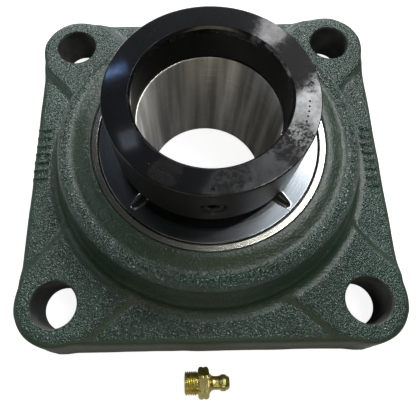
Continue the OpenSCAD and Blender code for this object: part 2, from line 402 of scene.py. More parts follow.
class Graph:
    """A node tree with short calls for adding and linking nodes."""

    def __init__(self, tree: bpy.types.NodeTree) -> None:
        """Keep the tree."""
        self.tree = tree

    def add(self, kind: str, inputs: dict | None = None, **settings: object) -> bpy.types.Node:
        """Add a node.

        Args:
            kind: Node type without the ShaderNode prefix.
            inputs: Socket name or number to a value, or to a (node, socket name) pair to link.
            **settings: Properties of the node.

        Returns:
            The new node.
        """
        node = self.tree.nodes.new("ShaderNode" + kind)
        for key, value in settings.items():
            setattr(node, key, value)
        for key, value in (inputs or {}).items():
            if isinstance(value, tuple) and isinstance(value[0], bpy.types.Node):
                self.tree.links.new(value[0].outputs[value[1]], node.inputs[key])
            else:
                node.inputs[key].default_value = value
        return node

    def math(self, operation: str, a: object, b: object = 0.0, clamp: bool = False) -> tuple:
        """Arithmetic on two numbers or links.

        Args:
            operation: Name of the operation.
            a: First number or link.
            b: Second number or link.
            clamp: Whether the result is held between 0 and 1.

        Returns:
            Link of the result.
        """
        node = self.add("Math", {0: a, 1: b}, operation=operation, use_clamp=clamp)
        return node, 0

    def span(self, value: tuple, low: float, high: float, to_low: float = 0.0, to_high: float = 1.0) -> tuple:
        """Map a link from one range to another with smooth ends.

        Args:
            value: Link that is mapped.
            low: Value that gives to_low.
            high: Value that gives to_high.
            to_low: Result at and below low.
            to_high: Result at and above high.

        Returns:
            Link of the result.
        """
        node = self.add("MapRange", {0: value, 1: low, 2: high, 3: to_low, 4: to_high},
                        interpolation_type="SMOOTHSTEP")
        return node, 0

    def blend(self, share: object, a: object, b: object) -> tuple:
        """Mix two colours.

        Args:
            share: Share of b, as a number or link.
            a: Colour at share 0, as a colour or link.
            b: Colour at share 1, as a colour or link.

        Returns:
            Link of the mixed colour.
        """
        node = self.add("Mix", {0: share, 6: a, 7: b}, data_type="RGBA")
        return node, 2

    def noise(self, where: tuple, scale: float, detail: float = 2.0, rough: float = 0.5) -> tuple:
        """Noise at a place.

        Args:
            where: Link that gives the place.
            scale: Cells per metre.
            detail: Number of finer layers.
            rough: Strength of each finer layer against the one before.

        Returns:
            Link of a value between 0 and 1.
        """
        node = self.add("TexNoise", {"Vector": where, "Scale": scale, "Detail": detail, "Roughness": rough})
        return node, 0

    def place(self) -> tuple:
        """Object coordinates, as a link."""
        return self.add("TexCoord"), "Object"


class Effects:
    """Shared effects as node groups: each has named inputs and gives masks, heights and tones only."""

    def __init__(self) -> None:
        """Build every group once."""
        self.grain = self._grain()
        self.turning = self._turning()
        self.honing = self._honing()
        self.wear = self._wear()
        self.smear = self._smear()

    @staticmethod
    def _open(name: str, inputs: dict[str, float],
              outputs: list[str]) -> tuple[Graph, bpy.types.Node, bpy.types.Node]:
        """Start a group with a place input, float inputs and float outputs.

        Args:
            name: Name of the group.
            inputs: Name and default value of each input.
            outputs: Names of the outputs.

        Returns:
            The graph, its input node and its output node.
        """
        tree = bpy.data.node_groups.new(name, "ShaderNodeTree")
        tree.interface.new_socket("Place", in_out="INPUT", socket_type="NodeSocketVector")
        for key, value in inputs.items():
            socket = tree.interface.new_socket(key, in_out="INPUT", socket_type="NodeSocketFloat")
            socket.default_value = value
        for key in outputs:
            tree.interface.new_socket(key, in_out="OUTPUT", socket_type="NodeSocketFloat")
        return Graph(tree), tree.nodes.new("NodeGroupInput"), tree.nodes.new("NodeGroupOutput")

    def _grain(self) -> bpy.types.NodeTree:
        """Sand-cast grain under paint: rounded grains with fine pits between, scaled by an amount, and a mask
        of grain tops for a painted glint.

        Returns:
            The group's tree.
        """
        g, source, sink = self._open("cast_grain", {"Pitch": 850.0, "Amount": 1.0}, ["Height", "PaintedGlint"])
        coarse = g.add("TexNoise", {"Vector": (source, 0), "Scale": (source, 1), "Detail": 2.5,
                                    "Roughness": 0.6})
        cells = g.add("TexVoronoi", {"Vector": (source, 0), "Scale": (source, 1)}, feature="SMOOTH_F1")
        slow = g.noise((source, 0), 160.0, 3.0)
        bumps = g.math("SUBTRACT", (coarse, 0), g.math("MULTIPLY", (cells, 0), 0.45))
        height = g.math("ADD", g.math("MULTIPLY", bumps, (source, 2)), g.math("MULTIPLY", slow, 0.5))
        g.tree.links.new(height[0].outputs[0], sink.inputs[0])
        # Mask of the grain tops, where a pale colour is painted as the glint of the gloss paint.
        tops = g.math("MULTIPLY", g.span((coarse, 0), 0.52, 0.66),
                      g.span(g.noise((source, 0), 1500.0), 0.55, 0.64))
        painted_glint = g.math("MULTIPLY", tops, (source, 2))
        g.tree.links.new(painted_glint[0].outputs[0], sink.inputs[1])
        return g.tree

    def _turning(self) -> bpy.types.NodeTree:
        """Lathe and grinding lines round the Z axis: noise of the distance from the axis and of height.

        Returns:
            The group's tree.
        """
        g, source, sink = self._open("turning_lines", {"Fineness": 9000.0}, ["Height", "Tone"])
        parts = g.add("SeparateXYZ", {0: (source, 0)})
        flat = g.add("CombineXYZ", {0: (parts, 0), 1: (parts, 1)})
        radius = g.add("VectorMath", {0: (flat, 0)}, operation="LENGTH")
        lines = g.add("CombineXYZ", {0: g.math("MULTIPLY", (radius, "Value"), (source, 1)),
                                     1: g.math("MULTIPLY", (parts, 2), (source, 1))})
        fine = g.noise((lines, 0), 1.0, 3.0, 0.7)
        broad = g.noise((source, 0), 70.0, 3.0)
        g.tree.links.new(fine[0].outputs[0], sink.inputs[0])
        tone = g.math("ADD", g.math("MULTIPLY", fine, 0.6), g.math("MULTIPLY", broad, 0.4))
        g.tree.links.new(tone[0].outputs[0], sink.inputs[1])
        return g.tree

    def _honing(self) -> bpy.types.NodeTree:
        """Honing of a bore: noise of the angle round Z, drawn out along the axis, with cross lines.

        Returns:
            The group's tree.
        """
        g, source, sink = self._open("honing_lines", {"Streaks": 22.0}, ["Height", "Tone"])
        parts = g.add("SeparateXYZ", {0: (source, 0)})
        angle = g.math("ARCTAN2", (parts, 1), (parts, 0))
        turned_angle = g.math("MULTIPLY", angle, (source, 1))
        streaks = g.add("CombineXYZ", {0: turned_angle, 1: g.math("MULTIPLY", (parts, 2), 9.0)})
        cross = g.add("CombineXYZ", {0: g.math("MULTIPLY", angle, 3.0),
                                     1: g.math("MULTIPLY", (parts, 2), 7000.0)})
        long = g.noise((streaks, 0), 1.0, 3.0, 0.5)
        fine = g.noise((cross, 0), 1.0, 2.0, 0.6)
        g.tree.links.new(fine[0].outputs[0], sink.inputs[0])
        tone = g.math("ADD", g.math("MULTIPLY", long, 0.7), g.math("MULTIPLY", fine, 0.3))
        g.tree.links.new(tone[0].outputs[0], sink.inputs[1])
        return g.tree

    def _wear(self) -> bpy.types.NodeTree:
        """Rubbed edges: the convex places of the mesh, broken up by noise.

        Returns:
            The group's tree.
        """
        g, source, sink = self._open("edge_wear", {"Low": 0.53, "High": 0.6}, ["Mask"])
        shape = g.add("NewGeometry")
        spread = g.add("MapRange", {0: (shape, "Pointiness"), 1: (source, 1), 2: (source, 2)})
        broken = g.span(g.noise((source, 0), 420.0, 3.0, 0.6), 0.42, 0.6)
        mask = g.math("MULTIPLY", (spread, 0), broken, clamp=True)
        g.tree.links.new(mask[0].outputs[0], sink.inputs[0])
        return g.tree

    def _smear(self) -> bpy.types.NodeTree:
        """Oil film: blotches with a wandering edge, and fine mottling inside them.

        Returns:
            The group's tree.
        """
        g, source, sink = self._open("oil_film", {"Size": 45.0, "Cover": 0.5}, ["Mask", "Mottle"])
        blotch = g.add("TexNoise", {"Vector": (source, 0), "Scale": (source, 1), "Detail": 5.0,
                                    "Roughness": 0.62, "Distortion": 0.6})
        edge = g.math("SUBTRACT", (blotch, 0), (source, 2))
        mask = g.span(edge, -0.04, 0.07)
        mottle = g.span(g.noise((source, 0), 620.0, 4.0, 0.7), 0.38, 0.66)
        g.tree.links.new(mask[0].outputs[0], sink.inputs[0])
        g.tree.links.new(mottle[0].outputs[0], sink.inputs[1])
        return g.tree


def new_material(name: str) -> tuple[bpy.types.Material, Graph, bpy.types.Node]:
    """Start a material with an empty Principled shader joined to its output.

    Args:
        name: Name of the material.

    Returns:
        The material, its graph and the Principled node.
    """
    material = bpy.data.materials.new(name)
    material.use_nodes = True
    tree = material.node_tree
    tree.nodes.clear()
    g = Graph(tree)
    shader = g.add("BsdfPrincipled")
    sink = g.add("OutputMaterial")
    tree.links.new(shader.outputs[0], sink.inputs[0])
    return material, g, shader


def grouped(g: Graph, group: bpy.types.NodeTree, place: tuple, **values: float) -> bpy.types.Node:
    """Place a shared effect in a material with its own values.

    Args:
        g: Graph of the material.
        group: The effect.
        place: Link that gives the place.
        **values: Inputs of the effect, by name with a capital letter.

    Returns:
        The group node.
    """
    node = g.add("Group", node_tree=group)
    g.tree.links.new(place[0].outputs[place[1]], node.inputs["Place"])
    for key, value in values.items():
        if isinstance(value, tuple):
            g.tree.links.new(value[0].outputs[value[1]], node.inputs[key.capitalize()])
        else:
            node.inputs[key.capitalize()].default_value = value
    return node


def bump(g: Graph, shader: bpy.types.Node, height: tuple, strength: float, distance: float,
         under: tuple | None = None) -> tuple:
    """Feed a height into the shader's normal.

    Args:
        g: Graph of the material.
        shader: Principled node.
        height: Link with the height.
        strength: Share of the bump.
        distance: Height of the bump in metres.
        under: Link of a bump that this one lies on, or None.

    Returns:
        Link of the new normal.
    """
    inputs = {"Height": height, "Strength": strength, "Distance": distance}
    if under is not None:
        inputs["Normal"] = under
    node = g.add("Bump", inputs)
    g.tree.links.new(node.outputs[0], shader.inputs["Normal"])
    return node, 0


# ---------------------------------------------------------------- finishes


@dataclass(frozen=True)
class CastEnamel:
    """Glossy dark green enamel brushed over a rough sand casting.

    Attributes:
        pooled: Colour of the thick paint on smooth fillets.
        face: Colour of the paint on grainy faces.
        dusty: Lighter patches of the grainy faces.
        thin: Painted glint: a pale colour on the grain tops that stands in for the sparkle of the gloss
            paint.
        bare: Colour of the rubbed flange edge.
        grain_depth: Height of the casting's grain in metres.
    """

    pooled: tuple = (0.013, 0.034, 0.014, 1.0)
    face: tuple = (0.009, 0.035, 0.022, 1.0)
    dusty: tuple = (0.017, 0.052, 0.038, 1.0)
    thin: tuple = (0.55, 0.62, 0.60, 1.0)
    bare: tuple = (0.09, 0.105, 0.062, 1.0)
    grain_depth: float = 0.0009

    def build(self, effects: Effects) -> bpy.types.Material:
        """Make the material.

        Args:
            effects: The shared effects.

        Returns:
            The new material.
        """
        material, g, shader = new_material("green_enamel")
        place = g.place()
        amount = (g.add("Attribute", attribute_name="grain"), "Fac")
        rub = (g.add("Attribute", attribute_name="rub"), "Fac")
        grain = grouped(g, effects.grain, place, pitch=1200.0, amount=amount)
        patches = g.span(g.noise(place, 38.0, 4.0, 0.6), 0.35, 0.65)
        tone = g.blend(patches, self.face, self.dusty)
        tone = g.blend(g.span(amount, 0.15, 0.6), self.pooled, tone)
        # Painted glint: the pale colour on grain tops stands in for the sparkle of gloss paint over the rough
        # casting.
        colour = g.blend(g.math("MULTIPLY", (grain, "PaintedGlint"), 0.8), tone, self.thin)
        broken = g.span(g.noise(place, 90.0, 4.0, 0.6), 0.3, 0.6, 0.6, 1.0)
        colour = g.blend(g.math("MULTIPLY", rub, broken), colour, self.bare)
        g.tree.links.new(colour[0].outputs[colour[1]], shader.inputs["Base Color"])
        rough = g.span(amount, 0.1, 0.7, 0.46, 0.12)
        g.tree.links.new(rough[0].outputs[0], shader.inputs["Roughness"])
        shader.inputs["IOR"].default_value = 1.7
        bump(g, shader, (grain, "Height"), 1.0, self.grain_depth)
        return material


@dataclass(frozen=True)
class MachinedIron:
    """Bare machined grey iron with faint facing rings and a light oil film.

    Attributes:
        light: Tone of the clean metal.
        dark: Tone between the rings and under the film.
    """

    light: tuple = (0.24, 0.235, 0.225, 1.0)
    dark: tuple = (0.12, 0.118, 0.11, 1.0)

    def build(self, effects: Effects) -> bpy.types.Material:
        """Make the material.

        Args:
            effects: The shared effects.

        Returns:
            The new material.
        """
        material, g, shader = new_material("machined_iron")
        place = g.place()
        rings = grouped(g, effects.turning, place, fineness=2600.0)
        film = grouped(g, effects.smear, place, size=32.0, cover=0.55)
        tone = g.blend((rings, "Tone"), self.dark, self.light)
        stained = g.blend(g.math("MULTIPLY", (film, 0), 0.4), tone, self.dark)
        g.tree.links.new(stained[0].outputs[stained[1]], shader.inputs["Base Color"])
        shader.inputs["Metallic"].default_value = 0.85
        rough = g.span((film, "Mottle"), 0.0, 1.0, 0.42, 0.3)
        g.tree.links.new(rough[0].outputs[0], shader.inputs["Roughness"])
        bump(g, shader, (rings, "Height"), 0.35, 0.00008)
        return material


@dataclass(frozen=True)
class BlackedBore:
    """Bolt-hole wall: drilled iron blackened by overspray, with drill rings showing through.

    Attributes:
        soot: Colour of the overspray.
        metal: Colour of the iron that shows through.
    """

    soot: tuple = (0.018, 0.02, 0.019, 1.0)
    metal: tuple = (0.27, 0.27, 0.26, 1.0)

    def build(self, effects: Effects) -> bpy.types.Material:
        """Make the material.

        Args:
            effects: The shared effects; not used.

        Returns:
            The new material.
        """
        material, g, shader = new_material("blacked_bore")
        place = g.place()
        parts = g.add("SeparateXYZ", {0: place})
        rings = g.add("CombineXYZ", {0: g.math("MULTIPLY", (parts, 2), 2200.0)})
        lines = g.noise((rings, 0), 1.0, 2.0)
        patch = g.span(g.noise(place, 60.0, 3.0, 0.5), 0.35, 0.75)
        colour = g.blend(g.math("MULTIPLY", patch, lines), self.soot, self.metal)
        g.tree.links.new(colour[0].outputs[colour[1]], shader.inputs["Base Color"])
        rough = g.span(patch, 0.0, 1.0, 0.5, 0.36)
        g.tree.links.new(rough[0].outputs[0], shader.inputs["Roughness"])
        bump(g, shader, lines, 0.5, 0.00012)
        return material


@dataclass(frozen=True)
class RingSteel:
    """Ground or polished steel with fine lines round the bearing axis.

    Attributes:
        name: Name of the material.
        light: Lighter tone.
        dark: Darker tone.
        smooth: Lowest roughness.
        rough: Highest roughness.
        fineness: Lines per metre, roughly.
        relief: Height of the lines in metres.
        spread: How far highlights draw out across the lines.
        film: How much of the oil film shows.
        crown: Height in metres above which the metal is dull, and its colour is a painted dark reflection, as
            on pressed ribs.
        crown_painted_dark: Colour of the metal above the crown.
    """

    name: str
    light: tuple
    dark: tuple
    smooth: float
    rough: float
    fineness: float = 9000.0
    relief: float = 0.00003
    spread: float = 0.4
    film: float = 0.2
    crown: float = 1.0
    crown_painted_dark: tuple = (0.03, 0.033, 0.028, 1.0)

    def build(self, effects: Effects) -> bpy.types.Material:
        """Make the material.

        Args:
            effects: The shared effects.

        Returns:
            The new material.
        """
        material, g, shader = new_material(self.name)
        place = g.place()
        lines = grouped(g, effects.turning, place, fineness=self.fineness)
        film = grouped(g, effects.smear, place, size=60.0, cover=0.56)
        tone = g.blend(g.span((lines, "Tone"), 0.3, 0.7), self.dark, self.light)
        veiled = g.blend(g.math("MULTIPLY", (film, "Mask"), self.film), tone, self.dark)
        # Painted dark reflection: above the crown, on the pressed ribs, the colour turns dark; the roughness
        # rises there too.
        raised = g.span((g.add("SeparateXYZ", {0: place}), 2), self.crown, self.crown + 0.0003)
        veiled = g.blend(raised, veiled, self.crown_painted_dark)
        g.tree.links.new(veiled[0].outputs[veiled[1]], shader.inputs["Base Color"])
        shader.inputs["Metallic"].default_value = 1.0
        shader.inputs["Anisotropic"].default_value = self.spread
        rough = g.span((lines, "Height"), 0.3, 0.7, self.smooth, self.rough)
        rough = g.math("MAXIMUM", rough, g.math("MULTIPLY", raised, 0.5))
        g.tree.links.new(rough[0].outputs[0], shader.inputs["Roughness"])
        bump(g, shader, (lines, "Height"), 0.4, self.relief)
        return material


@dataclass(frozen=True)
class HonedSteel:
    """Honed bore steel: streaks along the axis over fine rings round it; their strong tones also stand in as
    painted reflection streaks.

    Attributes:
        light: Lighter tone of the streaks, partly a painted highlight.
        dark: Darker tone of the streaks, partly a painted dark reflection.
    """

    light: tuple = (0.86, 0.84, 0.8, 1.0)
    dark: tuple = (0.34, 0.33, 0.31, 1.0)

    def build(self, effects: Effects) -> bpy.types.Material:
        """Make the material.

        Args:
            effects: The shared effects.

        Returns:
            The new material.
        """
        material, g, shader = new_material("honed_steel")
        place = g.place()
        # The streaks are drawn wide and with strong contrast, so that besides the honing they paint in
        # reflection streaks along the axis.
        hone = grouped(g, effects.honing, place, streaks=4.5)
        tone = g.blend(g.span((hone, "Tone"), 0.38, 0.62), self.dark, self.light)
        g.tree.links.new(tone[0].outputs[tone[1]], shader.inputs["Base Color"])
        shader.inputs["Metallic"].default_value = 1.0
        shader.inputs["Anisotropic"].default_value = 0.9
        shader.inputs["Anisotropic Rotation"].default_value = 0.25
        tangent = g.add("Tangent", direction_type="RADIAL", axis="Z")
        g.tree.links.new(tangent.outputs[0], shader.inputs["Tangent"])
        rough = g.span((hone, "Tone"), 0.3, 0.7, 0.54, 0.44)
        g.tree.links.new(rough[0].outputs[0], shader.inputs["Roughness"])
        bump(g, shader, (hone, "Height"), 0.3, 0.00002)
        return material


@dataclass(frozen=True)
class Stain:
    """An oil stain or rubbed spot on a face, at a place and height in millimetres.

    Attributes:
        angle: Direction from the axis in degrees.
        radius: Distance from the axis.
        height: Height of the face.
        reach: How far the spot spreads from its centre.
    """

    angle: float
    radius: float
    height: float
    reach: float

    def spot(self) -> tuple:
        """Centre in metres."""
        a = math.radians(self.angle)
        return (self.radius * math.cos(a) * MM, self.radius * math.sin(a) * MM, self.height * MM)


@dataclass(frozen=True)
class BlackOxide:
    """Oiled black oxide on machined steel: a deep gloss, dulled in stains and scuffed bright in spots.

    Attributes:
        stains: Where the film is dull.
        scuffs: Where the oxide is scuffed.
        black: Oxide colour.
        dull: Colour of the dulled stains.
        scuff: Colour of the scuffed spots.
    """

    stains: tuple
    scuffs: tuple
    black: tuple = (0.004, 0.004, 0.005, 1.0)
    dull: tuple = (0.012, 0.011, 0.011, 1.0)
    scuff: tuple = (0.3, 0.3, 0.32, 1.0)

    @staticmethod
    def near(g: Graph, place: tuple, spots: tuple, ragged: tuple) -> tuple:
        """Mask that is 1 close to any of the spots, with an edge that wanders by a noise.

        Args:
            g: Graph of the material.
            place: Link with the place.
            spots: The stains.
            ragged: Link with a noise between 0 and 1.

        Returns:
            Link with the mask.
        """
        masks = []
        for spot in spots:
            gap = g.add("VectorMath", {0: place, 1: spot.spot()}, operation="DISTANCE")
            share = g.math("DIVIDE", (gap, "Value"), spot.reach * MM)
            wandering = g.math("ADD", share, g.math("MULTIPLY", ragged, 2.0))
            masks.append(g.span(wandering, 2.1, 1.7))
        return functools.reduce(lambda a, b: g.math("MAXIMUM", a, b), masks)

    def build(self, effects: Effects) -> bpy.types.Material:
        """Make the material.

        Args:
            effects: The shared effects.

        Returns:
            The new material.
        """
        material, g, shader = new_material("black_oxide")
        place = g.place()
        film = grouped(g, effects.smear, place, size=150.0, cover=0.5)
        lines = grouped(g, effects.turning, place, fineness=5200.0)
        coarse = g.noise(place, 190.0, 5.0, 0.7)
        filled = g.span((film, "Mottle"), 0.0, 0.7, 0.45, 1.0)
        stained = g.math("MULTIPLY", self.near(g, place, self.stains, coarse), filled)
        scuffed = g.math("MULTIPLY", self.near(g, place, self.scuffs, coarse), (film, "Mottle"))
        colour = g.blend(stained, self.black, self.dull)
        colour = g.blend(g.math("MULTIPLY", scuffed, 0.5), colour, self.scuff)
        g.tree.links.new(colour[0].outputs[colour[1]], shader.inputs["Base Color"])
        worked = g.math("MAXIMUM", stained, g.math("MULTIPLY", scuffed, 0.3))
        veil = g.span(g.noise(place, 75.0, 5.0, 0.7), 0.3, 0.7, 0.35, 1.0)
        dulled = g.math("MAXIMUM", stained, g.math("MULTIPLY", scuffed, 0.6))
        gloss = g.math("MULTIPLY", veil, g.math("SUBTRACT", 1.0, dulled, clamp=True))
        g.tree.links.new(gloss[0].outputs[0], shader.inputs["Coat Weight"])
        shader.inputs["Coat IOR"].default_value = 1.75
        shader.inputs["Coat Roughness"].default_value = 0.07
        rough = g.span(worked, 0.0, 1.0, 0.3, 0.5)
        g.tree.links.new(rough[0].outputs[0], shader.inputs["Roughness"])
        shader.inputs["Specular IOR Level"].default_value = 0.1
        under = bump(g, shader, (lines, "Height"), 0.2, 0.00001)
        bump(g, shader, worked, 0.3, 0.00005, under)
        return material


@dataclass(frozen=True)
class TurnedOxide:
    """Black oxide left as turned: a dull sheen with fine lathe lines and lighter rubbed edges.

    Attributes:
        name: Name of the material.
        black: Oxide colour.
        worn: Colour of the rubbed edges.
    """

    name: str
    black: tuple = (0.006, 0.006, 0.005, 1.0)
    worn: tuple = (0.3, 0.29, 0.26, 1.0)

    def build(self, effects: Effects) -> bpy.types.Material:
        """Make the material.

        Args:
            effects: The shared effects.

        Returns:
            The new material.
        """
        material, g, shader = new_material(self.name)
        place = g.place()
        lines = grouped(g, effects.turning, place, fineness=4200.0)
        edge = grouped(g, effects.wear, place, low=0.53, high=0.62)
        colour = g.blend(g.math("MULTIPLY", (edge, "Mask"), 0.6), self.black, self.worn)
        g.tree.links.new(colour[0].outputs[colour[1]], shader.inputs["Base Color"])
        rough = g.span((lines, "Tone"), 0.3, 0.7, 0.36, 0.48)
        g.tree.links.new(rough[0].outputs[0], shader.inputs["Roughness"])
        shader.inputs["Specular IOR Level"].default_value = 0.35
        bump(g, shader, (lines, "Height"), 0.3, 0.00002)
        return material


@dataclass(frozen=True)
class TurnedBrass:
    """Polished turned brass with a thin tarnish in its hollows.

    Attributes:
        bright: Colour of the clean brass.
        tarnish: Colour of the tarnish.
    """

    bright: tuple = (0.8, 0.7, 0.27, 1.0)
    tarnish: tuple = (0.5, 0.42, 0.1, 1.0)

    def build(self, effects: Effects) -> bpy.types.Material:
        """Make the material.

        Args:
            effects: The shared effects.

        Returns:
            The new material.
        """
        material, g, shader = new_material("turned_brass")
        place = g.place()
        parts = g.add("SeparateXYZ", {0: place})
        rings = g.add("CombineXYZ", {0: g.math("MULTIPLY", (parts, 0), 9000.0)})
        lines = g.noise((rings, 0), 1.0, 2.0)
        film = grouped(g, effects.smear, place, size=260.0, cover=0.5)
        share = g.math("MULTIPLY", (film, "Mask"), 0.45)
        colour = g.blend(share, self.bright, self.tarnish)
        g.tree.links.new(colour[0].outputs[colour[1]], shader.inputs["Base Color"])
        shader.inputs["Metallic"].default_value = 1.0
        rough = g.span(lines, 0.3, 0.7, 0.22, 0.34)
        g.tree.links.new(rough[0].outputs[0], shader.inputs["Roughness"])
        bump(g, shader, lines, 0.3, 0.00002)
        return material


@dataclass(frozen=True)
class SealRubber:
    """Matte nitrile rubber with a faint moulding texture.

    Attributes:
        dark: Colour of the rubber.
        pale: Colour of the dust on it.
    """

    dark: tuple = (0.012, 0.012, 0.012, 1.0)
    pale: tuple = (0.03, 0.03, 0.03, 1.0)

    def build(self, effects: Effects) -> bpy.types.Material:
        """Make the material.

        Args:
            effects: The shared effects; not used.

        Returns:
            The new material.
        """
        material, g, shader = new_material("seal_rubber")
        place = g.place()
        dust = g.span(g.noise(place, 900.0, 3.0), 0.45, 0.7)
        colour = g.blend(dust, self.dark, self.pale)
        g.tree.links.new(colour[0].outputs[colour[1]], shader.inputs["Base Color"])
        rough = g.span(dust, 0.0, 1.0, 0.55, 0.75)
        g.tree.links.new(rough[0].outputs[0], shader.inputs["Roughness"])
        bump(g, shader, dust, 0.3, 0.00004)
        return material


@dataclass(frozen=True)
class StudioFloor:
    """Pale plain floor with the faintest paper tooth, lit a little from below as a light table is.

    Attributes:
        pale: Darker tone.
        paler: Lighter tone.
        glow: Strength of the light table, seen by the camera only.
    """

    pale: tuple = (0.5, 0.5, 0.5, 1.0)
    paler: tuple = (0.54, 0.54, 0.54, 1.0)
    glow: float = 0.9

    def build(self) -> bpy.types.Material:
        """Make the material.

        Returns:
            The new material.
        """
        material, g, shader = new_material("studio_floor")
        tooth = g.noise(g.place(), 300.0, 3.0)
        colour = g.blend(tooth, self.pale, self.paler)
        g.tree.links.new(colour[0].outputs[colour[1]], shader.inputs["Base Color"])
        shader.inputs["Roughness"].default_value = 0.8
        shader.inputs["Specular IOR Level"].default_value = 0.1
        shader.inputs["Emission Color"].default_value = (1.0, 1.0, 1.0, 1.0)
        seen = g.math("MULTIPLY", (g.add("LightPath"), "Is Camera Ray"), self.glow)
        g.tree.links.new(seen[0].outputs[0], shader.inputs["Emission Strength"])
        return material


class Finishes:
    """Every finish of the unit, built once."""

    def __init__(self) -> None:
        """Build the shared effects and the materials."""
        effects = Effects()
        self.enamel = CastEnamel().build(effects)
        self.iron = MachinedIron().build(effects)
        self.bore = BlackedBore().build(effects)
        self.ring = RingSteel("ground_steel", (0.7, 0.68, 0.6, 1.0), (0.36, 0.35, 0.29, 1.0), 0.14,
                              0.24, film=0.1).build(effects)
        self.honed = HonedSteel().build(effects)
        # The slinger's ribs rise above the crown, where their colour is a painted dark reflection.
        self.slinger = RingSteel("slinger_steel", (0.26, 0.28, 0.3, 1.0), (0.2, 0.218, 0.235, 1.0),
                                 0.16, 0.22, fineness=3000.0, relief=0.000004, spread=0.0,
                                 crown=(Insert.mid_z + Insert.slinger_top + 0.25) * MM).build(effects)
        top = Collar.end_z
        self.oxide = BlackOxide(
            stains=(Stain(28.0, 32.5, top, 9.0), Stain(12.0, 34.5, top, 7.5), Stain(-38.0, 33.5, top, 9.0),
                    Stain(-80.0, 32.0, top, 7.5), Stain(-118.0, 33.0, top, 6.0)),
            scuffs=(Stain(50.0, 33.5, top, 7.0),),
        ).build(effects)
        self.wall = TurnedOxide("turned_oxide").build(effects)
        self.screw = TurnedOxide("screw_oxide").build(effects)
        self.brass = TurnedBrass().build(effects)
        self.ball = RingSteel("ball_steel", (0.66, 0.66, 0.67, 1.0), (0.6, 0.6, 0.61, 1.0), 0.05, 0.09,
                              relief=0.000002, spread=0.0, film=0.05).build(effects)
        self.cage = RingSteel("cage_steel", (0.5, 0.5, 0.5, 1.0), (0.4, 0.4, 0.4, 1.0), 0.28, 0.4,
                              film=0.3).build(effects)
        self.shell = TurnedOxide("seal_shell").build(effects)
        self.rubber = SealRubber().build(effects)
        self.floor = StudioFloor().build()


def dress(piece: bpy.types.Object, *materials: bpy.types.Material) -> bpy.types.Object:
    """Give a piece its materials; each face keeps its slot, which clearing would reset.

    Args:
        piece: Object that is dressed.
        *materials: Its materials, in slot order.

    Returns:
        The same object.
    """
    slots = np.zeros(len(piece.data.polygons), dtype=np.int32)
    piece.data.polygons.foreach_get("material_index", slots)
    piece.data.materials.clear()
    for material in materials:
        piece.data.materials.append(material)
    piece.data.polygons.foreach_set("material_index", np.minimum(slots, len(materials) - 1))
    return piece


def stand_for(piece: bpy.types.Object, node: str, body: str) -> None:
    """Let a piece ride on a body in place of a node.

    Args:
        piece: The detailed piece.
        node: Name of the node that it replaces.
        body: Name of the body that it moves with.
    """
    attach(piece, body)
    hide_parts(node)
    LOG.info("%s stands for %s: %d faces", piece.name, node, len(piece.data.polygons))


# ---------------------------------------------------------------- housing


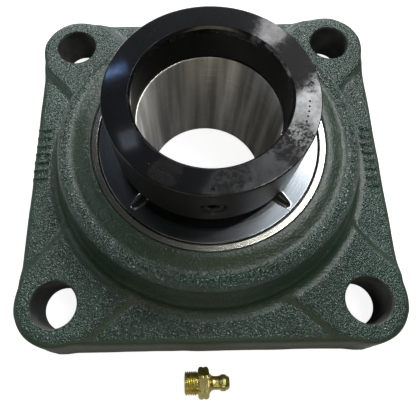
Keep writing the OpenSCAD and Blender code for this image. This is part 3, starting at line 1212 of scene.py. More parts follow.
@dataclass
class Housing:
    """Square cast housing: flange with four bolt lobes, round boss, spherical seat and grease port.

    Attributes:
        hole_half: Half the spacing of the bolt holes.
        hole_r: Radius of the bolt holes.
        pad_z: Height of the bolt pads.
        web_drop: How far the web lies below the pads.
        pad_half: Half width of the diagonal pads.
        edge_top: Half width across the straight edges at the top.
        edge_base: Half width across the straight edges at the mounting face.
        lobe_top: Radius of the lobes at the top.
        lobe_base: Radius of the lobes at the mounting face.
        corner_cut: Sum of X and Y along the straight that cuts each corner under its lobe.
        edge_round: Rounding of the flange's top edge.
        boss_base: Radius where the boss's fillet meets the flange.
        boss_z: Height of the bore's front edge.
        seat_z: Height of the seat's centre.
        seat_r: Radius of the spherical seat.
        opening_r: Radius of the opening in the mounting face.
        slot_half: Half width of the loading slots.
        slot_r: Reach of the loading slots.
        port_z: Height of the grease port.
        port_y: Distance of the port's mouth from the axis.
        port_r: Radius of the port's thread bore.
        columns: Columns of the surface round the axis.
    """

    hole_half: float = 65.0
    hole_r: float = 9.5
    pad_z: float = 20.0
    web_drop: float = 2.0
    pad_half: float = 20.0
    edge_top: float = 81.2
    edge_base: float = 83.8
    lobe_top: float = 17.2
    lobe_base: float = 19.2
    corner_cut: float = 150.0
    edge_round: float = 2.4
    boss_base: float = 71.5
    boss_z: float = 41.6
    seat_z: float = 28.3
    seat_r: float = 50.08
    opening_r: float = 45.0
    slot_half: float = 12.8
    slot_r: float = 50.3
    port_z: float = 33.0
    port_y: float = 66.5
    port_r: float = 4.3
    columns: int = 640

    @property
    def web_z(self) -> float:
        """Height of the web between the pads."""
        return self.pad_z - self.web_drop

    def outline(self, angle: np.ndarray, edge: float, lobe: float) -> np.ndarray:
        """Distance of the outline from the axis: the straight edge or the far side of the bolt lobe.

        Args:
            angle: Angle round the axis.
            edge: Half width across the straight edges.
            lobe: Radius of the lobes.

        Returns:
            Radius of the outline at each angle, with a small blend between edge and lobe.
        """
        across, along = np.abs(np.cos(angle)), np.abs(np.sin(angle))
        straight = np.minimum(edge / np.maximum(across, along), self.corner_cut / (across + along))
        reach = self.hole_half * math.sqrt(2.0)
        off = np.mod(angle, TURN / 4.0) - TURN / 8.0
        root = lobe ** 2 - (reach * np.sin(off)) ** 2
        far = reach * np.cos(off) + np.sqrt(np.maximum(root, 0.0))
        far = np.where(root > 0.0, far, 0.0)
        return smooth_max(straight, far, 2.0)

    def pad_share(self, x: np.ndarray, y: np.ndarray) -> np.ndarray:
        """Share of the diagonal bolt pads: 1 on them, easing to 0 across their sides.

        Args:
            x: X of each point.
            y: Y of each point.

        Returns:
            Share at each point.
        """
        off = np.minimum(np.abs(x - y), np.abs(x + y)) / math.sqrt(2.0)
        radius = np.hypot(x, y)
        half = self.pad_half + 2.2 * np.exp(-np.maximum(radius - self.boss_base, 0.0) / 7.0)
        return smoothstep(half + 3.4, half - 2.6, off)

    def marks(self, x: np.ndarray, y: np.ndarray) -> np.ndarray:
        """Plain raised foundry marks on the two side webs: rows of parallel bars with round ends.

        The height is a smooth step of the distance to the nearest bar.

        Args:
            x: X of each point.
            y: Y of each point.

        Returns:
            Height of the marks at each point.
        """
        bars = [(74.0, 77.8, 16.0 - 4.2 * k) for k in range(8)]
        bars += [(-78.2, -74.4, 18.0 - 4.2 * k) for k in range(7)]
        height = np.zeros_like(x)
        for low, high, across in bars:
            gap = np.hypot(x - np.clip(x, low, high), y - across)
            height = np.maximum(height, smoothstep(1.05, 0.45, gap))
        return 0.9 * height

    def boss_profile(self) -> np.ndarray:
        """Radius and height of the boss from the bore's edge over the shoulder to its fillet.

        The shoulder dips from the bore's edge and rises to the crest, each by a smooth step of the radius.

        Returns:
            Array of shape (n, 2).
        """
        shoulder = np.linspace(50.0, 59.6, 17)
        dip = 41.5 - 1.9 * smoothstep(50.0, 56.6, shoulder) + 0.8 * smoothstep(55.6, 60.0, shoulder)
        return np.concatenate([
            arc((self.seat_r - 0.88, self.boss_z - 0.75), 0.7, 170.0, 90.0, 4),
            np.stack([shoulder, dip], axis=1),
            arc((60.0, 36.9), 3.5, 88.0, 12.0, 9),
            np.array([[63.5, 35.4], [64.0, 33.6], [64.5, 31.8], [65.0, 30.0], [65.5, 28.2], [66.0, 26.6],
                      [66.5, 25.2], [67.1, 24.2], [67.5, 23.2], [67.8, 22.2]]),
            arc((self.boss_base + 0.3, self.web_z + 3.9), 3.9, 186.0, 270.0, 8)[1:],
        ])

    def skin(self) -> Skin:
        """One closed surface: boss, flange top, drafted sides, mounting face, back opening and seat.

        Returns:
            The surface, with its grain and rub per point.
        """
        angle = np.linspace(0.0, TURN, self.columns, endpoint=False)
        cos, sin = np.cos(angle), np.sin(angle)
        boss = self.boss_profile()
        top_r = self.outline(angle, self.edge_top, self.lobe_top)
        base_r = self.outline(angle, self.edge_base, self.lobe_base)
        radius, height, grain, finish, rub = [], [], [], [], {}

        def row(r: np.ndarray, z: np.ndarray, g: np.ndarray, material: int) -> None:
            """Add one row of the surface.

            Args:
                r: Radius at each angle, or one value.
                z: Height at each angle, or one value.
                g: Share of grain at each angle, or one value.
                material: Material index of the faces above the row.
            """
            radius.append(np.broadcast_to(r, angle.shape))
            height.append(np.broadcast_to(z, angle.shape))
            grain.append(np.broadcast_to(g, angle.shape))
            finish.append(material)

        for r, z in boss:
            low = smoothstep(27.0, 19.0, np.array(z))
            share = self.pad_share(r * cos, r * sin)
            # The crest gets extra grain share, which raises the bump there and also the painted glint.
            crest = 1.5 * np.exp(-((r - 60.4) / 2.4) ** 2)
            row(r, z + low * self.web_drop * share, np.maximum(crest, 0.26), 0)
        inner = boss[-1, 0]
        for t in np.linspace(0.0, 1.0, 44)[1:]:
            r = inner + (top_r - self.edge_round - inner) * t
            x, y = r * cos, r * sin
            share = self.pad_share(x, y)
            valley = 4.0 * share * (1.0 - share)
            edge = top_r - r
            fall = 0.5 * smoothstep(7.5, 2.0, edge)
            z = self.pad_z - self.web_drop * (1.0 - share) - 0.15 * valley - fall
            z = z + self.marks(x, y) * (1.0 - share)
            near_boss = smoothstep(0.0, 2.5, r - inner)
            g = near_boss * (1.0 - 0.85 * valley) * smoothstep(1.0, 4.0, edge)
            row(r, z, np.maximum(g, 0.2), 0)
        rim_z = height[-1]
        for a in np.radians(np.linspace(0.0, 83.0, 8))[1:]:
            row(top_r - self.edge_round * (1.0 - math.sin(a)), rim_z - self.edge_round * (1.0 - math.cos(a)),
                np.array(0.12), 0)
        side_z = height[-1]
        for t in np.linspace(0.0, 1.0, 7)[1:]:
            row(top_r + (base_r - top_r) * t, side_z + (0.9 - side_z) * t, np.array(0.3), 0)
            rub[len(radius) - 1] = 0.85 * float(smoothstep(-0.2, 0.3, np.array(t)))
        for r, z in ((0.25, 0.3), (0.9, 0.0)):
            row(base_r - r, np.array(z), np.array(0.0), 1)
        for t in np.linspace(0.0, 1.0, 7)[1:]:
            row((base_r - 0.9) * (1.0 - t) + (self.opening_r + 0.8) * t, np.array(0.0), np.array(0.0), 1)
        low_z = self.seat_z - math.sqrt(self.seat_r ** 2 - self.opening_r ** 2)
        for r, z in ((self.opening_r + 0.15, 0.65), (self.opening_r, 1.2), (self.opening_r, low_z - 0.2)):
            row(np.array(r), np.array(z), np.array(0.0), 1)
        start = math.degrees(math.asin((low_z - self.seat_z) / self.seat_r))
        end = math.degrees(math.asin((self.boss_z - 0.9 - self.seat_z) / self.seat_r))
        for r, z in arc((0.0, self.seat_z), self.seat_r, start, end, 14):
            row(np.array(r), np.array(z), np.array(0.0), 1)

        radius, height, grain = np.stack(radius), np.stack(height), np.stack(grain)
        worn = np.zeros_like(radius)
        for index, value in rub.items():
            worn[index] = value
        x, y = radius * cos, radius * sin
        away = np.hypot(x, height - self.port_z)
        pad = smoothstep(8.6, 6.6, away) * (y > 55.0) * (radius > 56.0)
        flat = self.port_y / np.maximum(np.abs(sin), 0.5)
        radius = radius + pad * np.maximum(flat - radius, -1.0)
        grid = np.stack([radius * cos, radius * sin, height], axis=-1)
        return Skin("flange_housing", self.roughened(grid, grain, np.array(finish)), Ends.JOINED,
                    np.array(finish), {"grain": grain, "rub": worn})

    def roughened(self, grid: np.ndarray, grain: np.ndarray, finish: np.ndarray) -> np.ndarray:
        """Push the cast rows along their normals by slow mould waves and by coarse grain.

        Args:
            grid: Points of the surface.
            grain: Share of grain at each point.
            finish: Material index of each row.

        Returns:
            Moved points.
        """
        waves = 0.16 * lattice_noise(grid, 14.0, 11) + 0.08 * lattice_noise(grid, 6.0, 12)
        pits = 0.10 * lattice_noise(grid, 2.1, 13)
        cast = ((finish == 0) & (np.roll(finish, 1) == 0))[:, None]
        rim = smoothstep(50.2, 53.0, np.hypot(grid[..., 0], grid[..., 1]))
        normal = grid_normals(grid)
        return grid + normal * ((waves + pits * grain) * cast * rim)[..., None]

    def cutter(self) -> bpy.types.Object:
        """Bolt holes, loading slots and grease port as one cutter.

        Returns:
            The cutter object.
        """
        pieces = []
        for x in (-self.hole_half, self.hole_half):
            for y in (-self.hole_half, self.hole_half):
                mouth = self.hole_r + 0.8
                hole = drill("hole", [(0.0, -1.0, 0.0), (mouth, -1.0, 0.0), (self.hole_r, 0.4, 0.2),
                                      (self.hole_r, self.pad_z - 0.7, 0.8), (mouth, self.pad_z + 0.6, 0.0),
                                      (mouth, self.pad_z + 3.0, 0.0), (0.0, self.pad_z + 3.0, 0.0)], 72)
                pieces.append(placed(hole, Matrix.Translation(Vector((x, y, 0.0)) * MM)))
        pieces.append(self.slot_solid())
        pieces.append(self.port_solid())
        return joined(pieces, "housing_cutter")

    def slot_solid(self) -> bpy.types.Object:
        """Loading slot: the outline of a disc cut by two parallel sides, drawn up to the seat's centre.

        Returns:
            The cutter object.
        """
        half = math.degrees(math.asin(self.slot_half / self.slot_r))
        ends = [arc((0.0, 0.0), self.slot_r, start - half, start + half, 12) for start in (0.0, 180.0)]
        outline = np.concatenate(ends)
        low = np.concatenate([outline, np.full((len(outline), 1), -1.0)], axis=1)
        high = np.concatenate([outline, np.full((len(outline), 1), self.seat_z)], axis=1)
        return Skin("slot", np.stack([low, high]), Ends.CAPPED).build()

    def port_solid(self) -> bpy.types.Object:
        """Grease port: a threaded hole with a chamfered mouth, and a narrow way into the seat.

        Returns:
            The cutter object.
        """
        depth = 10.0
        rows = [(1.5, -8.0), (1.5, 0.0), (self.port_r - 0.2, 0.35)]
        rows += [(self.port_r, z) for z in np.arange(0.6, depth - 0.5, 0.11)]
        rows += [(self.port_r + 0.35, depth - 0.45), (self.port_r + 1.0, depth),
                 (self.port_r + 1.0, depth + 2.0)]
        profile = np.array(rows)
        angle = np.linspace(0.0, TURN, 64, endpoint=False)
        z = profile[:, 1, None]
        wave = thread_wave(angle[None, :], z, GreaseNipple.pitch)
        inside = smoothstep(0.6, 1.4, z) * smoothstep(depth - 0.5, depth - 1.2, z)
        radius = profile[:, 0, None] + 0.5 * wave * inside
        grid = np.stack([radius * np.cos(angle), radius * np.sin(angle),
                         np.broadcast_to(z, radius.shape)], axis=-1)
        piece = Skin("port", grid, Ends.CAPPED).build()
        turn = Matrix.Translation(Vector((0.0, self.port_y - depth, self.port_z)) * MM)
        return placed(piece, turn @ Euler((-math.pi / 2.0, 0.0, 0.0)).to_matrix().to_4x4())

    def build(self, finishes: Finishes) -> None:
        """Make, cut and dress the housing.

        Args:
            finishes: The unit's materials.
        """
        piece = dress(self.skin().build(), finishes.enamel, finishes.iron)
        cutter = dress(self.cutter(), finishes.bore)
        carve(piece, cutter)
        stand_for(piece, "housing", "housing")


# ---------------------------------------------------------------- insert


@dataclass
class Insert:
    """Bearing insert: outer ring, inner ring with its cam, and the two slingers.

    Attributes:
        mid_z: Height of the ball row.
        outer_r: Radius of the spherical outside.
        half_w: Half width of the outer ring.
        recess_r: Radius of the seal recess.
        shoulder_r: Radius of the outer ring's shoulder.
        bore_r: Radius of the shaft bore.
        land_r: Radius of the inner ring's land.
        back_z: Height of the inner ring's back end.
        front_z: Height of the inner ring's cam end.
        cam_z: Height where the cam starts.
        cam_r: Radius of the cam.
        cam_off: Eccentricity of the cam.
        slinger_top: Height of the slinger's face above the ball row.
        slinger_r: Outer radius of the slinger.
    """

    mid_z: float = 28.3
    outer_r: float = 50.0
    half_w: float = 12.5
    recess_r: float = 45.9
    shoulder_r: float = 42.3
    bore_r: float = 27.5
    land_r: float = 34.5
    back_z: float = 0.5
    front_z: float = 56.0
    cam_z: float = 47.5
    cam_r: float = 32.4
    cam_off: float = 0.9
    slinger_top: float = 12.2
    slinger_r: float = 45.45

    def outer_ring(self, finishes: Finishes) -> None:
        """Outer ring: spherical outside, ground side faces, stepped recesses and the ball groove.

        Args:
            finishes: The unit's materials.
        """
        edge_r = math.sqrt(self.outer_r ** 2 - self.half_w ** 2)
        tilt = math.degrees(math.asin((self.half_w - 0.35) / self.outer_r))
        side = rounded([(self.recess_r, 8.8, 0.0), (self.recess_r, self.half_w, 0.3),
                        (edge_r, self.half_w, 0.35), (edge_r + 0.16, self.half_w - 0.5, 0.0)], 0.8,
                       closed=False)
        inner = np.concatenate([arc((38.524, 0.0), 7.43, -59.0, 59.0, 14), [[self.shoulder_r, 6.6]],
                                [[self.shoulder_r, 8.6]], [[self.shoulder_r + 0.2, 8.8]]])
        upper = np.concatenate([inner[inner[:, 1] >= 0.0], side])
        ball = arc((0.0, 0.0), self.outer_r, tilt, -tilt, 24)
        lower = upper[::-1] * np.array([1.0, -1.0])
        profile = np.concatenate([upper[:-1], ball, lower[1:]]) + np.array([0.0, self.mid_z])
        piece = dress(Skin("insert_outer_ring", turned(profile, 256)).build(), finishes.ring)
        stand_for(piece, "outer_ring", "outer_ring")

    def inner_ring(self, finishes: Finishes) -> None:
        """Inner ring: honed bore, ground land with the ball groove, and the eccentric cam end.

        The cam rows lie on a circle shifted along X: r = e cos a + sqrt(R^2 - e^2 sin^2 a).

        Args:
            finishes: The unit's materials.
        """
        groove = arc((38.976, self.mid_z), 7.43, 233.0, 127.0, 16)
        body = [(self.bore_r, self.back_z, 0.7), (self.land_r, self.back_z, 0.6)]
        low = rounded(body + [(self.land_r, self.mid_z - 6.3, 0.0)], 3.0, closed=False)
        high = rounded([(self.land_r, self.mid_z + 6.3, 0.0), (self.land_r, self.cam_z, 0.4),
                        (self.cam_r, self.cam_z, 0.3), (self.cam_r, self.front_z, 0.5),
                        (self.bore_r, self.front_z, 0.55), (self.bore_r, self.back_z + 2.0, 0.0)], 2.5,
                       closed=False)
        profile = np.concatenate([low, groove[1:-1], high])
        grid = turned(profile, 256)
        angle = np.linspace(0.0, TURN, 256, endpoint=False)
        e = self.cam_off
        shifted = e * np.cos(angle) + np.sqrt(self.cam_r ** 2 - (e * np.sin(angle)) ** 2)
        on_cam = (profile[:, 1] > self.cam_z - 0.2) * smoothstep(self.bore_r + 0.7, self.cam_r - 0.6,
                                                                 profile[:, 0])
        on_cam = on_cam * smoothstep(self.land_r - 0.3, self.cam_r + 0.3, profile[:, 0])
        grow = 1.0 + on_cam[:, None] * (shifted / self.cam_r - 1.0)[None, :]
        grid[..., :2] *= grow[..., None]
        inside = (profile[:, 0] < self.bore_r + 0.9) & (profile[:, 1] < self.front_z - 0.05)
        piece = Skin("insert_inner_ring", grid, Ends.JOINED, np.where(inside, 1, 0)).build()
        dress(piece, finishes.ring, finishes.honed)
        stand_for(piece, "inner_ring", "inner_ring")

    def slinger(self, side: int, finishes: Finishes) -> None:
        """Pressed slinger with four radial ribs: a rib is a rounded ridge whose width narrows outwards.

        Args:
            side: 1 for the collar side, -1 for the mounting side.
            finishes: The unit's materials.
        """
        top, hub, rim = self.slinger_top, self.land_r + 0.04, self.slinger_r
        profile = rounded([(hub, top - 1.5, 0.1), (hub, top, 0.25), (rim, top, 0.5), (rim, top - 1.4, 0.15),
                           (rim - 0.7, top - 1.4, 0.15), (rim - 0.7, top - 0.7, 0.3),
                           (hub + 0.8, top - 0.7, 0.4), (hub + 0.8, top - 1.5, 0.1)], 0.42)
        grid = turned(profile, 600)
        angle = np.linspace(0.0, TURN, 600, endpoint=False)
        off = np.mod(angle, TURN / 4.0) - TURN / 8.0
        radius = profile[:, 0, None]
        across = np.abs(radius * np.sin(off)[None, :])
        half = 2.9 - 1.3 * smoothstep(37.0, 43.4, radius)
        ridge = np.cos(0.5 * math.pi * np.clip(across / half, 0.0, 1.0)) ** 2
        ridge = ridge * smoothstep(35.6, 37.4, radius) * smoothstep(44.0, 41.4, radius)
        grid[..., 2] += 1.5 * ridge
        grid[..., 2] = self.mid_z + side * grid[..., 2]
        name = "slinger_upper" if side > 0 else "slinger_lower"
        piece = dress(Skin("pressed_" + name, grid).build(50.0), finishes.slinger)
        stand_for(piece, name, "inner_ring")

    def build(self, finishes: Finishes) -> None:
        """Make the rings and slingers, and dress the sealed pieces inside.

        Args:
            finishes: The unit's materials.
        """
        self.outer_ring(finishes)
        self.inner_ring(finishes)
        self.slinger(1, finishes)
        self.slinger(-1, finishes)
        inside = {"ball_": finishes.ball, "cage_": finishes.cage, "seal_shell": finishes.shell,
                  "seal_lip": finishes.rubber}
        for name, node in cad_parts.items():
            for start, material in inside.items():
                if name.startswith(start):
                    dress(node, material)


# ---------------------------------------------------------------- collar and set screw


@dataclass
class Collar:
    """Eccentric locking collar with its set screw.

    Attributes:
        near_z: Height of the face next to the slinger.
        end_z: Height of the end face.
        outer_r: Outside radius.
        bore_r: Bore radius.
        recess_z: Height of the recess's floor.
        recess_r: Radius of the recess.
        recess_off: Eccentricity of the recess.
        screw_r: Radius of the set screw.
        screw_tip: Distance of the screw's tip from the axis.
        screw_len: Length of the screw.
        socket: Width of the hexagon socket across flats.
    """

    near_z: float = 48.0
    end_z: float = 71.9
    outer_r: float = 38.1
    bore_r: float = 28.0
    recess_z: float = 56.6
    recess_r: float = 32.7
    recess_off: float = 0.9
    screw_r: float = 3.95
    screw_tip: float = 28.2
    screw_len: float = 9.4
    socket: float = 4.0

    @property
    def screw_z(self) -> float:
        """Height of the set screw's axis, half way up the collar."""
        return 0.5 * (self.near_z + self.end_z)

    def ring(self) -> bpy.types.Object:
        """Collar body, with its recess on a circle shifted along X as the inner ring's cam is.

        Returns:
            The new object.
        """
        profile = rounded([(self.recess_r, self.near_z, 0.25), (self.outer_r, self.near_z, 0.6),
                           (self.outer_r, self.end_z, 0.55), (self.bore_r + 0.85, self.end_z, 0.12),
                           (self.bore_r, self.end_z - 0.95, 0.12), (self.bore_r, self.recess_z, 0.2),
                           (self.recess_r, self.recess_z, 0.3)], 2.5)
        angle = np.linspace(0.0, TURN, 256, endpoint=False)
        e = self.recess_off
        shifted = e * np.cos(angle) + np.sqrt(self.recess_r ** 2 - (e * np.sin(angle)) ** 2)
        share = (profile[:, 1] < self.recess_z + 0.05) * smoothstep(self.outer_r - 1.0, self.recess_r + 0.6,
                                                                    profile[:, 0])
        share = share * smoothstep(self.bore_r + 0.3, self.recess_r - 0.6, profile[:, 0])
        grid = turned(profile, 256)
        grid[..., :2] *= (1.0 + share[:, None] * (shifted / self.recess_r - 1.0)[None, :])[..., None]
        wall = (profile[:, 0] > self.outer_r - 0.1) | (profile[:, 1] < self.end_z - 3.0)
        return Skin("eccentric_collar", grid, Ends.JOINED, np.where(wall, 1, 0)).build()

    def cutter(self) -> bpy.types.Object:
        """Screw hole with a countersunk mouth, blind drift hole, and plain punch marks on the end face.

        Returns:
            The cutter object.
        """
        hole_r = self.screw_r + 0.12
        mouth_r, inner, outer = hole_r + 1.2, self.bore_r - 2.0, self.outer_r
        hole = drill("screw_hole", [(0.0, inner, 0.0), (hole_r, inner, 0.0), (hole_r, outer - 1.3, 0.1),
                                    (mouth_r, outer + 0.1, 0.0), (mouth_r, outer + 2.0, 0.0),
                                    (0.0, outer + 2.0, 0.0)], 64)
        drift = drill("drift_hole", [(0.0, outer - 6.6, 0.0), (3.0, outer - 6.0, 0.0),
                                     (3.0, outer - 0.6, 0.1), (3.6, outer + 0.1, 0.0),
                                     (3.6, outer + 2.0, 0.0), (0.0, outer + 2.0, 0.0)], 48)
        up = Matrix.Translation(Vector((0.0, 0.0, self.screw_z * MM)))
        placed(hole, up @ Euler((math.pi / 2.0, 0.0, 0.0)).to_matrix().to_4x4())
        placed(drift, up @ Euler((-math.pi / 2.0, 0.0, 0.0)).to_matrix().to_4x4())
        return joined([hole, drift] + self.punch_marks(), "collar_cutter")

    def punch_marks(self) -> list[bpy.types.Object]:
        """Round punch dots: one by the screw and short rows elsewhere on the end face.

        Returns:
            One cutter for each dot.
        """
        spots = [(-91.0, 35.8, 0.75)]
        spots += [(-14.0 + 3.4 * k, 33.6, 0.42) for k in range(-2, 3)]
        spots += [(-122.0 + 3.2 * k, 33.4, 0.42) for k in range(-2, 3)]
        spots += [(122.0 + 3.6 * k, 33.6, 0.4) for k in range(-1, 3)]
        dots = []
        for angle, radius, size in spots:
            lift = 0.35 * size
            dot = drill("dot", [(0.0, lift - size, 0.0), (0.5 * size, lift - 0.87 * size, 0.0),
                                (0.87 * size, lift - 0.5 * size, 0.0), (size, lift, 0.0), (size, 1.0, 0.0),
                                (0.0, 1.0, 0.0)], 16)
            a = math.radians(angle)
            place = Vector((radius * math.cos(a), radius * math.sin(a), self.end_z)) * MM
            dots.append(placed(dot, Matrix.Translation(place)))
        return dots

    def screw(self) -> bpy.types.Object:
        """Set screw: cup point, threaded side and hexagon socket, each row's radius a function of angle.

        Returns:
            The new object.
        """
        angle = np.linspace(0.0, TURN, 96, endpoint=False)
        r, length = self.screw_r, self.screw_len
        rows = [(0.3, 0.9, 0), (1.3, 0.35, 0), (1.75, 0.02, 0), (r - 1.15, 0.0, 0), (r - 0.4, 0.8, 0)]
        rows += [(r, z, 1) for z in np.arange(1.0, length - 0.75, 0.13)]
        rows += [(r - 0.15, length - 0.5, 0), (r - 0.5, length - 0.12, 0), (r - 0.75, length, 0)]
        rows += [(3.0, length, 0), (2.55, length - 0.02, 0), (1.0, length - 0.45, 2), (1.0, length - 2.4, 2),
                 (1.0, length - 4.4, 2), (0.9, length - 4.5, 2), (0.1, length - 4.9, 2)]
        table = np.array(rows)
        wave = thread_wave(angle[None, :], table[:, 1, None], 1.25)
        hexagon = hexagon_radius(angle, self.socket)[None, :]
        radius = np.where(table[:, 2, None] == 1, table[:, 0, None] - 0.6 * (1.0 - wave), table[:, 0, None])
        radius = np.where(table[:, 2, None] == 2, table[:, 0, None] * hexagon, radius)
        grid = np.stack([radius * np.cos(angle), radius * np.sin(angle),
                         np.broadcast_to(table[:, 1, None], radius.shape)], axis=-1)
        piece = Skin("socket_set_screw", grid, Ends.CAPPED).build()
        place = Matrix.Translation(Vector((0.0, -self.screw_tip, self.screw_z)) * MM)
        return placed(piece, place @ Euler((math.pi / 2.0, 0.0, 0.0)).to_matrix().to_4x4())

    def build(self, finishes: Finishes) -> None:
        """Make, cut and dress the collar and its screw.

        Args:
            finishes: The unit's materials.
        """
        ring = dress(self.ring(), finishes.oxide, finishes.wall)
        carve(ring, dress(self.cutter(), finishes.wall))
        stand_for(ring, "locking_collar", "locking_collar")
        screw = dress(self.screw(), finishes.screw)
        stand_for(screw, "set_screw", "set_screw")


# ---------------------------------------------------------------- grease nipple


@dataclass
class GreaseNipple:
    """Loose grease nipple lying along X: taper thread, waisted hexagon, neck and hooked head.

    Attributes:
        start_x: Place of the thread's end.
        line_y: Place of its axis in Y.
        hex_w: Width of the hexagon across flats.
        thread_r: Radius of the thread's crests.
        pitch: Thread pitch.
        length: Whole length.
    """

    start_x: float = -11.5
    line_y: float = -96.5
    hex_w: float = 11.0
    thread_r: float = 4.865
    pitch: float = 0.907
    length: float = 18.8

    def build(self, finishes: Finishes) -> None:
        """Make the body as rows from the inner chamber round the outside, and dress it.

        Args:
            finishes: The unit's materials.
        """
        angle = np.linspace(0.0, TURN, 120, endpoint=False)
        bore = [(1.0, 2.4), (1.0, 1.2), (1.0, 0.25), (1.25, 0.0)]
        face = [(3.0, 0.0), (3.85, 0.05), (4.1, 0.25)]
        thread = [(self.thread_r - 0.16 + 0.03 * z, z) for z in np.arange(0.4, 5.05, 0.1)]
        groove = [(4.35, 5.15), (4.3, 5.35), (4.3, 5.65), (4.45, 5.7)]
        hexagon = [(5.2, 5.7), (5.45, 5.72), (5.95, 6.0), (6.3, 6.35), (6.5, 6.7), (6.5, 7.35),
                   (6.45, 7.6), (6.2, 7.75), (5.98, 8.0), (6.2, 8.25), (6.45, 8.4), (6.5, 8.65),
                   (6.5, 9.3), (6.3, 9.65), (5.95, 10.0), (5.45, 10.28), (5.2, 10.3)]
        neck = np.concatenate([[[4.2, 10.3]], arc((5.0, 12.6), 2.3, 252.0, 182.0, 8)])
        head = rounded([(2.7, 12.8, 0.0), (2.7, 14.4, 0.9), (3.35, 15.7, 0.4), (3.35, 16.9, 0.5),
                        (2.25, self.length, 0.25), (1.15, self.length, 0.15), (1.15, 18.1, 0.1),
                        (1.75, 17.2, 0.1), (1.75, 2.4, 0.1)], 0.8, closed=False)
        table = np.concatenate([np.array(p) for p in (bore, face, thread, groove, hexagon, neck, head[1:])])
        z = table[:, 1, None]
        outside = (table[:, 0, None] > 3.6)
        wave = thread_wave(angle[None, :], z, self.pitch)
        on_thread = outside * smoothstep(0.3, 0.9, z) * smoothstep(5.15, 4.9, z)
        radius = table[:, 0, None] - 0.56 * (1.0 - wave) * on_thread
        on_hexagon = outside & (z >= 5.69) & (z <= 10.31)
        flats = hexagon_radius(angle + TURN / 12.0, self.hex_w)[None, :]
        radius = np.where(on_hexagon, np.minimum(radius, flats), radius)
        grid = np.stack([self.start_x + np.broadcast_to(z, radius.shape),
                         self.line_y + radius * np.cos(angle),
                         0.5 * self.hex_w + radius * np.sin(angle)], axis=-1)
        piece = dress(Skin("brass_grease_nipple", grid).build(28.0), finishes.brass)
        stand_for(piece, "grease_nipple", "grease_nipple")
        dress(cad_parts["nipple_check_ball"], finishes.ball)
        dress(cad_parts["nipple_spring"], finishes.cage)


# ---------------------------------------------------------------- studio


@dataclass(frozen=True)
class Lamp:
    """One soft rectangular studio light.

    Attributes:
        name: Name of the light.
        place: Where it stands, in metres.
        size: Width and height in metres.
        power: Power in watts.
        colour: Light colour.
    """

    name: str
    place: tuple
    size: tuple
    power: float
    colour: tuple = (1.0, 1.0, 1.0)

    @classmethod
    def towards(cls, name: str, azimuth: float, height: float, away: float, size: tuple, power: float,
                colour: tuple = (1.0, 1.0, 1.0)) -> "Lamp":
        """Light seen from the unit in a given direction.

        Args:
            name: Name of the light.
            azimuth: Direction in degrees from +X towards +Y.
            height: Elevation in degrees.
            away: Distance in metres.
            size: Width and height in metres.
            power: Power in watts.
            colour: Light colour.

        Returns:
            The light.
        """
        a, h = math.radians(azimuth), math.radians(height)
        place = (away * math.cos(h) * math.cos(a), away * math.cos(h) * math.sin(a), away * math.sin(h))
        return cls(name, place, size, power, colour)

    def hang(self) -> None:
        """Put the light into the scene."""
        data = bpy.data.lights.new(self.name, "AREA")
        data.shape = "RECTANGLE"
        data.size, data.size_y = self.size
        data.energy = self.power
        data.color = self.colour
        lamp = bpy.data.objects.new(self.name, data)
        lamp.location = self.place
        lamp.rotation_euler = (-Vector(self.place)).to_track_quat("-Z", "Y").to_euler()
        bpy.context.scene.collection.objects.link(lamp)


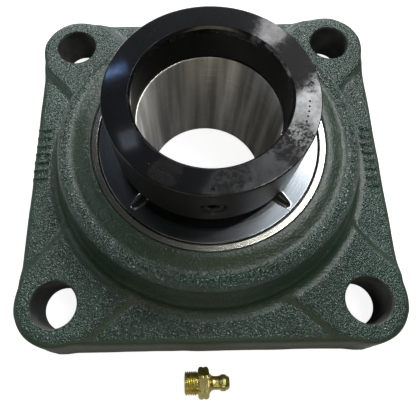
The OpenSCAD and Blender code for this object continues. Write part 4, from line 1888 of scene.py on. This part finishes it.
@dataclass
class Studio:
    """Floor, lights, surroundings and camera.

    Attributes:
        lens: Focal length in millimetres.
        sensor: Sensor width in millimetres.
        place: Camera place in millimetres.
        turn: Camera turn about X, Y and Z in radians.
        shift: Lens shift right and up, as a share of the width.
        sky: Brightness of the surroundings.
    """

    lens: float = 35.15
    sensor: float = 36.0
    place: tuple = (-7.73, -82.8, 190.46)
    turn: tuple = (0.3323, 0.0096, -0.0145)
    shift: tuple = (0.0463, 0.0009)
    sky: float = 0.05

    def build(self, finishes: Finishes) -> None:
        """Set everything up.

        Args:
            finishes: The unit's materials.
        """
        mesh = bpy.data.meshes.new("floor")
        half = 3.0
        mesh.from_pydata([(-half, -half, 0.0), (half, -half, 0.0), (half, half, 0.0), (-half, half, 0.0)], [],
                         [(0, 1, 2, 3)])
        floor = bpy.data.objects.new("floor", mesh)
        bpy.context.scene.collection.objects.link(floor)
        dress(floor, finishes.floor)
        world = bpy.data.worlds.new("studio")
        world.use_nodes = True
        world.node_tree.nodes["Background"].inputs[0].default_value = (0.93, 0.96, 1.0, 1.0)
        world.node_tree.nodes["Background"].inputs[1].default_value = self.sky
        bpy.context.scene.world = world
        bpy.context.scene.view_settings.view_transform = "Standard"
        for lamp in (
            Lamp.towards("key_right", 42.0, 53.0, 1.3, (0.56, 0.4), 6.6, (0.98, 0.99, 1.0)),
            Lamp.towards("ceiling_right", 50.0, 68.0, 1.3, (0.5, 0.3), 0.5, (0.9, 0.96, 1.0)),
            Lamp.towards("strip_back", 73.0, 46.0, 1.3, (0.08, 0.16), 0.3),
            Lamp.towards("low_back", 95.0, 27.0, 1.2, (1.3, 0.3), 11.0, (0.96, 0.99, 1.0)),
            Lamp.towards("window_back", 108.2, 52.5, 1.2, (0.08, 0.022), 0.03, (0.3, 0.5, 1.0)),
            Lamp.towards("window_left", 110.2, 62.1, 1.2, (0.05, 0.05), 0.012, (0.7, 0.8, 1.0)),
            Lamp.towards("low_left", 178.0, 28.0, 1.1, (0.8, 0.3), 1.2, (0.9, 0.98, 1.0)),
            Lamp.towards("low_front", -95.0, 34.0, 1.0, (1.2, 0.3), 1.2, (1.0, 0.94, 0.6)),
            Lamp.towards("strip_right", 22.0, 68.0, 1.2, (0.05, 0.3), 1.7),
            Lamp.towards("strip_front_right", -22.0, 64.0, 1.2, (0.06, 0.4), 0.9),
            Lamp.towards("strip_front", -82.0, 66.0, 1.2, (0.1, 0.3), 0.3, (1.0, 0.98, 0.94)),
        ):
            lamp.hang()
        data = bpy.data.cameras.new("camera")
        data.lens, data.sensor_width = self.lens, self.sensor
        data.shift_x, data.shift_y = self.shift
        data.clip_start = 0.01
        camera = bpy.data.objects.new("camera", data)
        camera.location = Vector(self.place) * MM
        camera.rotation_euler = Euler(self.turn, "XYZ")
        bpy.context.scene.collection.objects.link(camera)
        bpy.context.scene.camera = camera


def main() -> None:
    """Build the unit's pieces in order, then the studio."""
    logging.basicConfig(level=logging.INFO, format="%(name)s: %(message)s")
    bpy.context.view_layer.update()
    finishes = Finishes()
    Housing().build(finishes)
    Insert().build(finishes)
    Collar().build(finishes)
    GreaseNipple().build(finishes)
    Studio().build(finishes)
    dress(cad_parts["cage_rivets"], finishes.cage)


if __name__ == "__main__":
    main()
